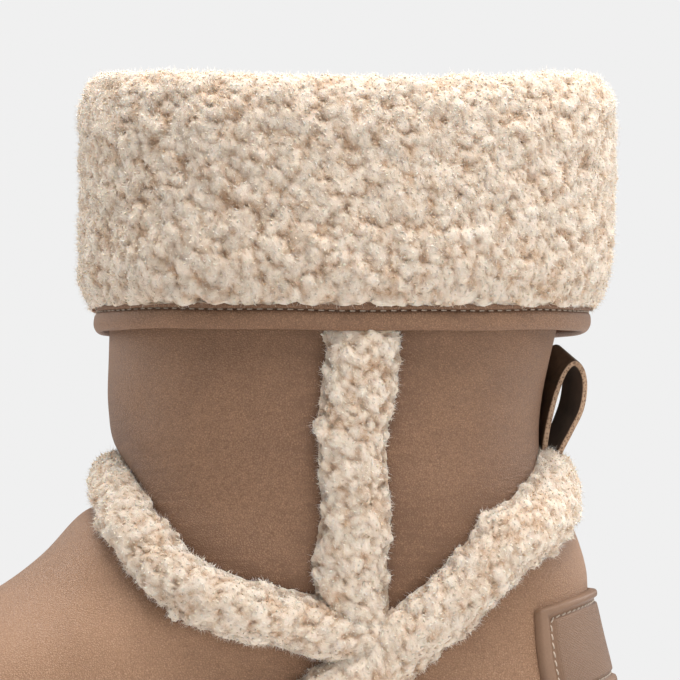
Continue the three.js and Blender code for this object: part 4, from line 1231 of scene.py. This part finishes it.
def buildPatch():
    # a plate with a bead, a groove and a low panel on its face, and a plain back near the leather
    size = patchSizes
    wide = size["halfWidth"]
    tall = size["height"] / 2
    a, d = np.meshgrid(np.linspace(-1, 1, size["columns"]), np.linspace(0, 1, size["rows"]))
    x, y, edge = roundCorners(a * wide, (d - 0.5) * 2 * tall, wide, tall, size["corner"])
    row, turn = patchMap(x / wide, y / tall / 2 + 0.5)
    bead = smooth(edge, -0.2, 0.8) * (1 - smooth(edge, size["beadWidth"] - 0.8, size["beadWidth"]))
    groove = np.exp(-((edge - size["grooveAt"]) / size["grooveWidth"]) ** 2)
    inPanel = smooth(edge, size["panelAt"], size["panelAt"] + 0.35)
    face = gap + size["thickness"] * smooth(edge, -0.01, 0.5) + size["bead"] * bead
    face = face - size["grooveDepth"] * groove + inPanel * size["panelRise"]
    front = leatherPoint(row, turn, face)
    back = leatherPoint(row, turn, np.full(face.shape, gap * 0.6))
    rows, columns = face.shape
    count = rows * columns
    grid = gridFaces(rows, columns, closeColumns=False)
    border = np.concatenate([np.arange(columns), np.arange(2, rows) * columns - 1,
                             count - 1 - np.arange(columns), np.arange(rows - 2, 0, -1) * columns])
    nextOne = np.roll(border, -1)
    walls = np.stack([border, nextOne, nextOne + count, border + count], axis=1)
    values = {"across": x / size["weave"], "down": y / size["weave"], "panel": inPanel}
    return makeMesh("moulded_heel_patch", np.concatenate([front.reshape(-1, 3), back.reshape(-1, 3)]),
                    [grid, grid[:, ::-1] + count, walls],
                    {label: np.tile(value.ravel(), 2) for label, value in values.items()})


def patchSeam(steps=260):
    # points along the patch's groove, in which its stitches lie
    size = patchSizes
    wide = size["halfWidth"]
    tall = size["height"] / 2
    outline = roundedOutline(wide - size["grooveAt"], tall - size["grooveAt"], size["seamCorner"], 7)
    outline = np.concatenate([outline, outline[:1]])
    run = np.append(0, np.cumsum(np.linalg.norm(np.diff(outline, axis=0), axis=1)))
    at = np.linspace(0, run[-1], steps, endpoint=False)
    across = np.interp(at, run, outline[:, 0]) / wide
    down = np.interp(at, run, outline[:, 1]) / tall / 2 + 0.5
    deep = gap + size["thickness"] - size["grooveDepth"] * 0.75
    return leatherPoint(*patchMap(across, down), np.full(steps, deep))


finishPiece(buildPatch(), patchRubber, ("heel_patch",))
sewAlong("patch_stitches", patchSeam(), patchSizes, slant=0.2)

# The sole
soleSizes = {
    "flange": 4.6, "rimRise": 5, "rimWall": 2.6, "lugDepth": 3.5, "lugGap": 5, "lugInset": 5,
    "lugCorner": 1.6, "columns": 260, "sideRows": 34, "ribDepth": 0.45, "ribPitch": 3.4, "bevel": 0.9,
}
soleSide = table("out down", [
    [0.86, 0.0], [1.0, 0.06], [1.0, 0.3], [0.72, 0.36], [0.96, 0.46], [1.08, 0.72], [0.98, 0.9],
])
lugRows = (
    {"from": 0.035, "to": 0.245, "count": 5, "whole": 2},
    {"from": 0.555, "to": 0.745, "count": 4, "whole": 1},
    {"from": 0.765, "to": 0.955, "count": 4, "whole": -1},
)


def planRing(grown, turns):
    # a ring round the form's feather edge, grown level by so much
    point = hull(0, turns)
    return point + unit(outward(0, turns) * [1, 1, 0]) * np.asarray(grown)[..., None]


def levelRing(grown, turns, heightAt, lift):
    # a ring round the plan at a lift above a line of heights along the foot
    points = planRing(grown, turns)
    points[:, 2] = heightAt(points[:, 0]) + lift
    return points


def buildSoleBody():
    size = soleSizes
    turns = turnRow(size["columns"])[0]
    rim = gap + 0.9
    rise = size["rimRise"]
    topRings = [(rim - inset, -gap) for inset in (30, 12, 4, 0)]
    topRings += [(rim, rise - 0.4), (rim + 0.3, rise + 0.1), (rim + size["rimWall"] * 0.6, rise + 0.4)]
    rings = [levelRing(grown, turns, seatHeight, lift) for grown, lift in topRings]
    outlineRun = np.append(0, np.cumsum(np.linalg.norm(np.diff(hull(0, turns), axis=0), axis=1)))
    keys = np.arange(len(soleSide["out"]), dtype=float)
    for k in np.linspace(0, keys[-1], size["sideRows"]):
        out = follow(keys, soleSide["out"], k)
        down = follow(keys, soleSide["down"], k)
        wave = np.cos(2 * math.pi * outlineRun / size["ribPitch"])
        ribs = size["ribDepth"] * smooth(down, 0.46, 0.56) * wave
        points = planRing(out * size["flange"] + ribs - size["ribDepth"] * 0.5, turns)
        x = points[:, 0]
        points[:, 2] = mix(seatHeight(x) + rise, baseHeight(x) + size["lugDepth"], down)
        rings.append(points)
    for inset in (0.3, 6, 20, 34):
        rings.append(levelRing(size["flange"] * 0.7 - inset, turns, baseHeight, size["lugDepth"]))
    return tube(rings)


def swing(x):
    # how far the middle line curves to the inner side
    return -last["lastCurve"] * (x / footLength) ** 2


def planHalf(x, side):
    # how far the sole's foot reaches to a side of its middle line
    start = {name: values[0] for name, values in sections.items()}
    along = np.clip((x - start["backX"]) / (start["frontX"] - start["backX"]), 0, 1)
    share = follow(plan["along"], plan["outer" if side > 0 else "inner"], along)
    ends = endRound(along, start["heelRound"], start["toeRound"])
    return start["half"] * share * ends + soleSizes["flange"]


def outerEdge(x):
    return planHalf(x, 1) - soleSizes["lugInset"] + swing(x)


def innerEdge(x):
    return -planHalf(x, -1) + soleSizes["lugInset"] + swing(x)


def outerGroove(x):
    return swing(x) + soleSizes["lugGap"] / 2


def innerGroove(x):
    return swing(x) - soleSizes["lugGap"] / 2


def buildLug(begin, end, low, high):
    # a lug with rounded corners and a bevelled foot, between two edges given along the foot
    size = soleSizes
    corner = size["lugCorner"]
    corners = ((end - corner, high, -corner, 0), (begin + corner, high, -corner, 90),
               (begin + corner, low, corner, 180), (end - corner, low, corner, 270))
    outline = []
    for x, edge, inward, angle in corners:
        y = edge(x) + inward
        for bend in np.radians(np.linspace(angle, angle + 90, 5)):
            outline.append((x + corner * math.cos(bend), y + corner * math.sin(bend)))
    outline = np.array(outline)
    middle = outline.mean(axis=0)
    rings = []
    for inset, lift in ((0.0, size["lugDepth"] + gap), (0.15, size["bevel"] * 0.9), (size["bevel"], 0.0)):
        flat = outline + unit(middle - outline) * inset
        height = baseHeight(flat[:, 0]) + lift
        rings.append(np.column_stack([flat, height]))
    return tube(rings)


def buildSole():
    # the sole's body and its lugs as one mesh
    size = soleSizes
    parts = [buildSoleBody()]
    for zone in lugRows:
        pitch = ((zone["to"] - zone["from"]) * footLength + size["lugGap"]) / zone["count"]
        for i in range(zone["count"]):
            begin = zone["from"] * footLength + i * pitch
            end = begin + pitch - size["lugGap"]
            if i == zone["whole"]:
                parts.append(buildLug(begin, end, innerEdge, outerEdge))
            else:
                parts.append(buildLug(begin, end, outerGroove, outerEdge))
                parts.append(buildLug(begin, end, innerEdge, innerGroove))
    points = []
    groups = []
    start = 0
    for partPoints, partGroups in parts:
        order = -1 if isInsideOut(partPoints, partGroups) else 1
        groups.extend([group[:, ::order] + start for group in partGroups])
        points.append(partPoints)
        start += len(partPoints)
    return makeMesh("lugged_sole", np.concatenate(points), groups)


finishPiece(buildSole(), soleRubber, ("sole",))

# The insole and the short wool inside the shaft
liningLook = {
    "columns": 190, "rows": 90, "outRows": 14, "fromRow": 0.9, "belowCollar": 1.1, "pile": 3.2,
    "curlSize": 2.8, "curlHeight": 1.1, "lowShade": 0.45,
}
insoleLook = {
    "columns": 150, "rings": 26, "thick": 4.5, "spineFrom": 30, "spineTo": 232, "curlSize": 2.6,
    "softSize": 7.5, "lumpHeight": 0.9,
}


def buildInsole():
    # a plate on the seat whose top is drawn in to a line down its middle, with low lumps of wool
    look = insoleLook
    turns = turnRow(look["columns"])[0]
    edge = -wall - gap * 2
    rings = [levelRing(grown, turns, seatHeight, lift) for grown, lift in (
        (-30, 0.15), (-14, 0.15), (edge, 0.15), (edge, 3.3), (edge - 0.4, 4.2),
    )]
    rimRing = rings[-1]
    spine = rimRing.copy()
    spine[:, 1] = swing(spine[:, 0])
    spine[:, 0] = np.clip(spine[:, 0], look["spineFrom"], look["spineTo"])
    for share in np.linspace(0.04, 0.97, look["rings"]):
        points = mix(rimRing, spine, share)
        points[:, 2] = seatHeight(points[:, 0]) + look["thick"]
        rings.append(points)
    rings = np.array(rings)
    fine = curlField(rings, look["curlSize"], 5)
    soft = curlField(rings, look["softSize"], 2)
    lump = np.clip(1 - fine, 0, 1) * 0.8 - 0.35 * np.clip(soft, 0, 1)
    lump[:4] = 0
    rings[..., 2] += lump * look["lumpHeight"]
    points, groups = tube(rings)
    # the colour mark is darker between the lumps: partly the roots' own tint, partly painted shade
    return makeMesh("wool_insole", points, groups, {"curl": tubeValues(np.clip(1 - fine * 0.9, 0, 1))})


def buildLining():
    # short wool on the upper's inner face, domed over its curls
    look = liningLook
    turns = turnRow(look["columns"])
    top = collarRow - look["belowCollar"]
    inRows = np.linspace(look["fromRow"], top, look["rows"])[:, None]
    outRows = np.linspace(top, look["fromRow"], look["outRows"])[:, None]
    inner = leatherPoint(inRows, turns, -wall - look["pile"])
    outer = leatherPoint(outRows, turns, -wall - 0.3)
    dome = np.sqrt(np.clip(1 - (curlField(inner, look["curlSize"], 5) / 0.75) ** 2, 0, 1))
    inner = inner - outward(inRows + 0 * turns, turns + 0 * inRows) * (dome * look["curlHeight"])[..., None]
    points = np.concatenate([inner, outer])
    # darker between the domes: partly the roots' own tint, partly painted shade
    shade = np.concatenate([mix(look["lowShade"], 1, dome), 0.5 + 0 * outer[..., 0]])
    faces = [gridFaces(len(points), look["columns"], closeRows=True)]
    return makeMesh("wool_lining", points, faces, {"curl": shade})


finishPiece(buildInsole(), liningFleece, ("insole",))
finishPiece(buildLining(), liningFleece)

# Light, floor and camera
photo = {"away": 1000, "atX": 132, "atZ": 117, "aimX": 83.3, "aimZ": 157, "span": 207.4}
sensor = 36
studio = {
    "backdrop": 0.871, "ambient": 0.31, "keyPower": 19.5, "leftPower": 6.5, "rightPower": 6.5,
    "heelPower": 1.5, "floorBase": 0.78, "floorSeen": 0.44,
}


def buildCamera():
    # a long lens from the outer side, at the photo's framing
    spot = Vector((photo["atX"] - heelRestAt, photo["away"], photo["atZ"])) * mm
    aim = Vector((photo["aimX"] - heelRestAt, 0, photo["aimZ"])) * mm
    data = bpy.data.cameras.new("photo camera")
    data.sensor_width = sensor
    data.lens = sensor * (aim - spot).length / (photo["span"] * mm)
    camera = addObject("photo camera", data)
    camera.location = spot
    camera.rotation_euler = (aim - spot).to_track_quat("-Z", "Y").to_euler()
    bpy.context.scene.camera = camera


def areaLight(name, spot, aim, size, power, colour=(1, 1, 1)):
    data = bpy.data.lights.new(name, "AREA")
    data.shape = "DISK"
    data.size = size
    data.energy = power
    data.color = colour
    light = addObject(name, data)
    light.location = spot
    light.rotation_euler = (Vector(aim) - Vector(spot)).to_track_quat("-Z", "Y").to_euler()


def buildFloor():
    # its own shade to the eye is the backdrop's, so that it doesn't glare
    finish = Finish("pale floor", {"Roughness": 0.9, "Specular IOR Level": 0.1})
    seen = finish.node("ShaderNodeLightPath", output="Is Camera Ray")
    finish.give(Base_Color=studio["floorBase"] + (studio["floorSeen"] - studio["floorBase"]) * seen)
    bpy.ops.mesh.primitive_circle_add(vertices=96, radius=0.72, fill_type="NGON")
    floor = bpy.context.object
    floor.name = "floor"
    floor.location.z = -0.0003
    floor.data.materials.append(finish.material)


def buildWorld():
    # a pale backdrop to the eye, and a softer glow on the boot
    world = bpy.data.worlds.new("studio")
    world.use_nodes = True
    graph = Graph(world.node_tree)
    background = world.node_tree.nodes["Background"]
    background.inputs["Color"].default_value = (1, 1, 1, 1)
    seen = graph.node("ShaderNodeLightPath", output="Is Camera Ray")
    strength = studio["ambient"] + (studio["backdrop"] - studio["ambient"]) * seen
    world.node_tree.links.new(strength.socket, background.inputs["Strength"])
    bpy.context.scene.world = world


buildCamera()
buildFloor()
buildWorld()
areaLight("overhead key", (-0.06, 0.3, 1.1), (0.03, 0, 0.15), 0.8, studio["keyPower"], (1.0, 0.985, 0.965))
areaLight("left rim", (0.85, -0.4, 0.65), (0.05, 0, 0.15), 0.8, studio["leftPower"])
areaLight("right rim", (-0.8, -0.4, 0.65), (0.05, 0, 0.15), 0.8, studio["rightPower"])
areaLight("heel fill", (-0.55, 0.6, 0.25), (-0.03, 0, 0.1), 0.45, studio["heelPower"])
bpy.context.scene.view_settings.view_transform = "Standard"

total = sum(sum(len(face.vertices) - 2 for face in item.data.polygons) for item in bpy.data.objects
            if item.type == "MESH" and item.visible_get())
print("triangles seen", total)
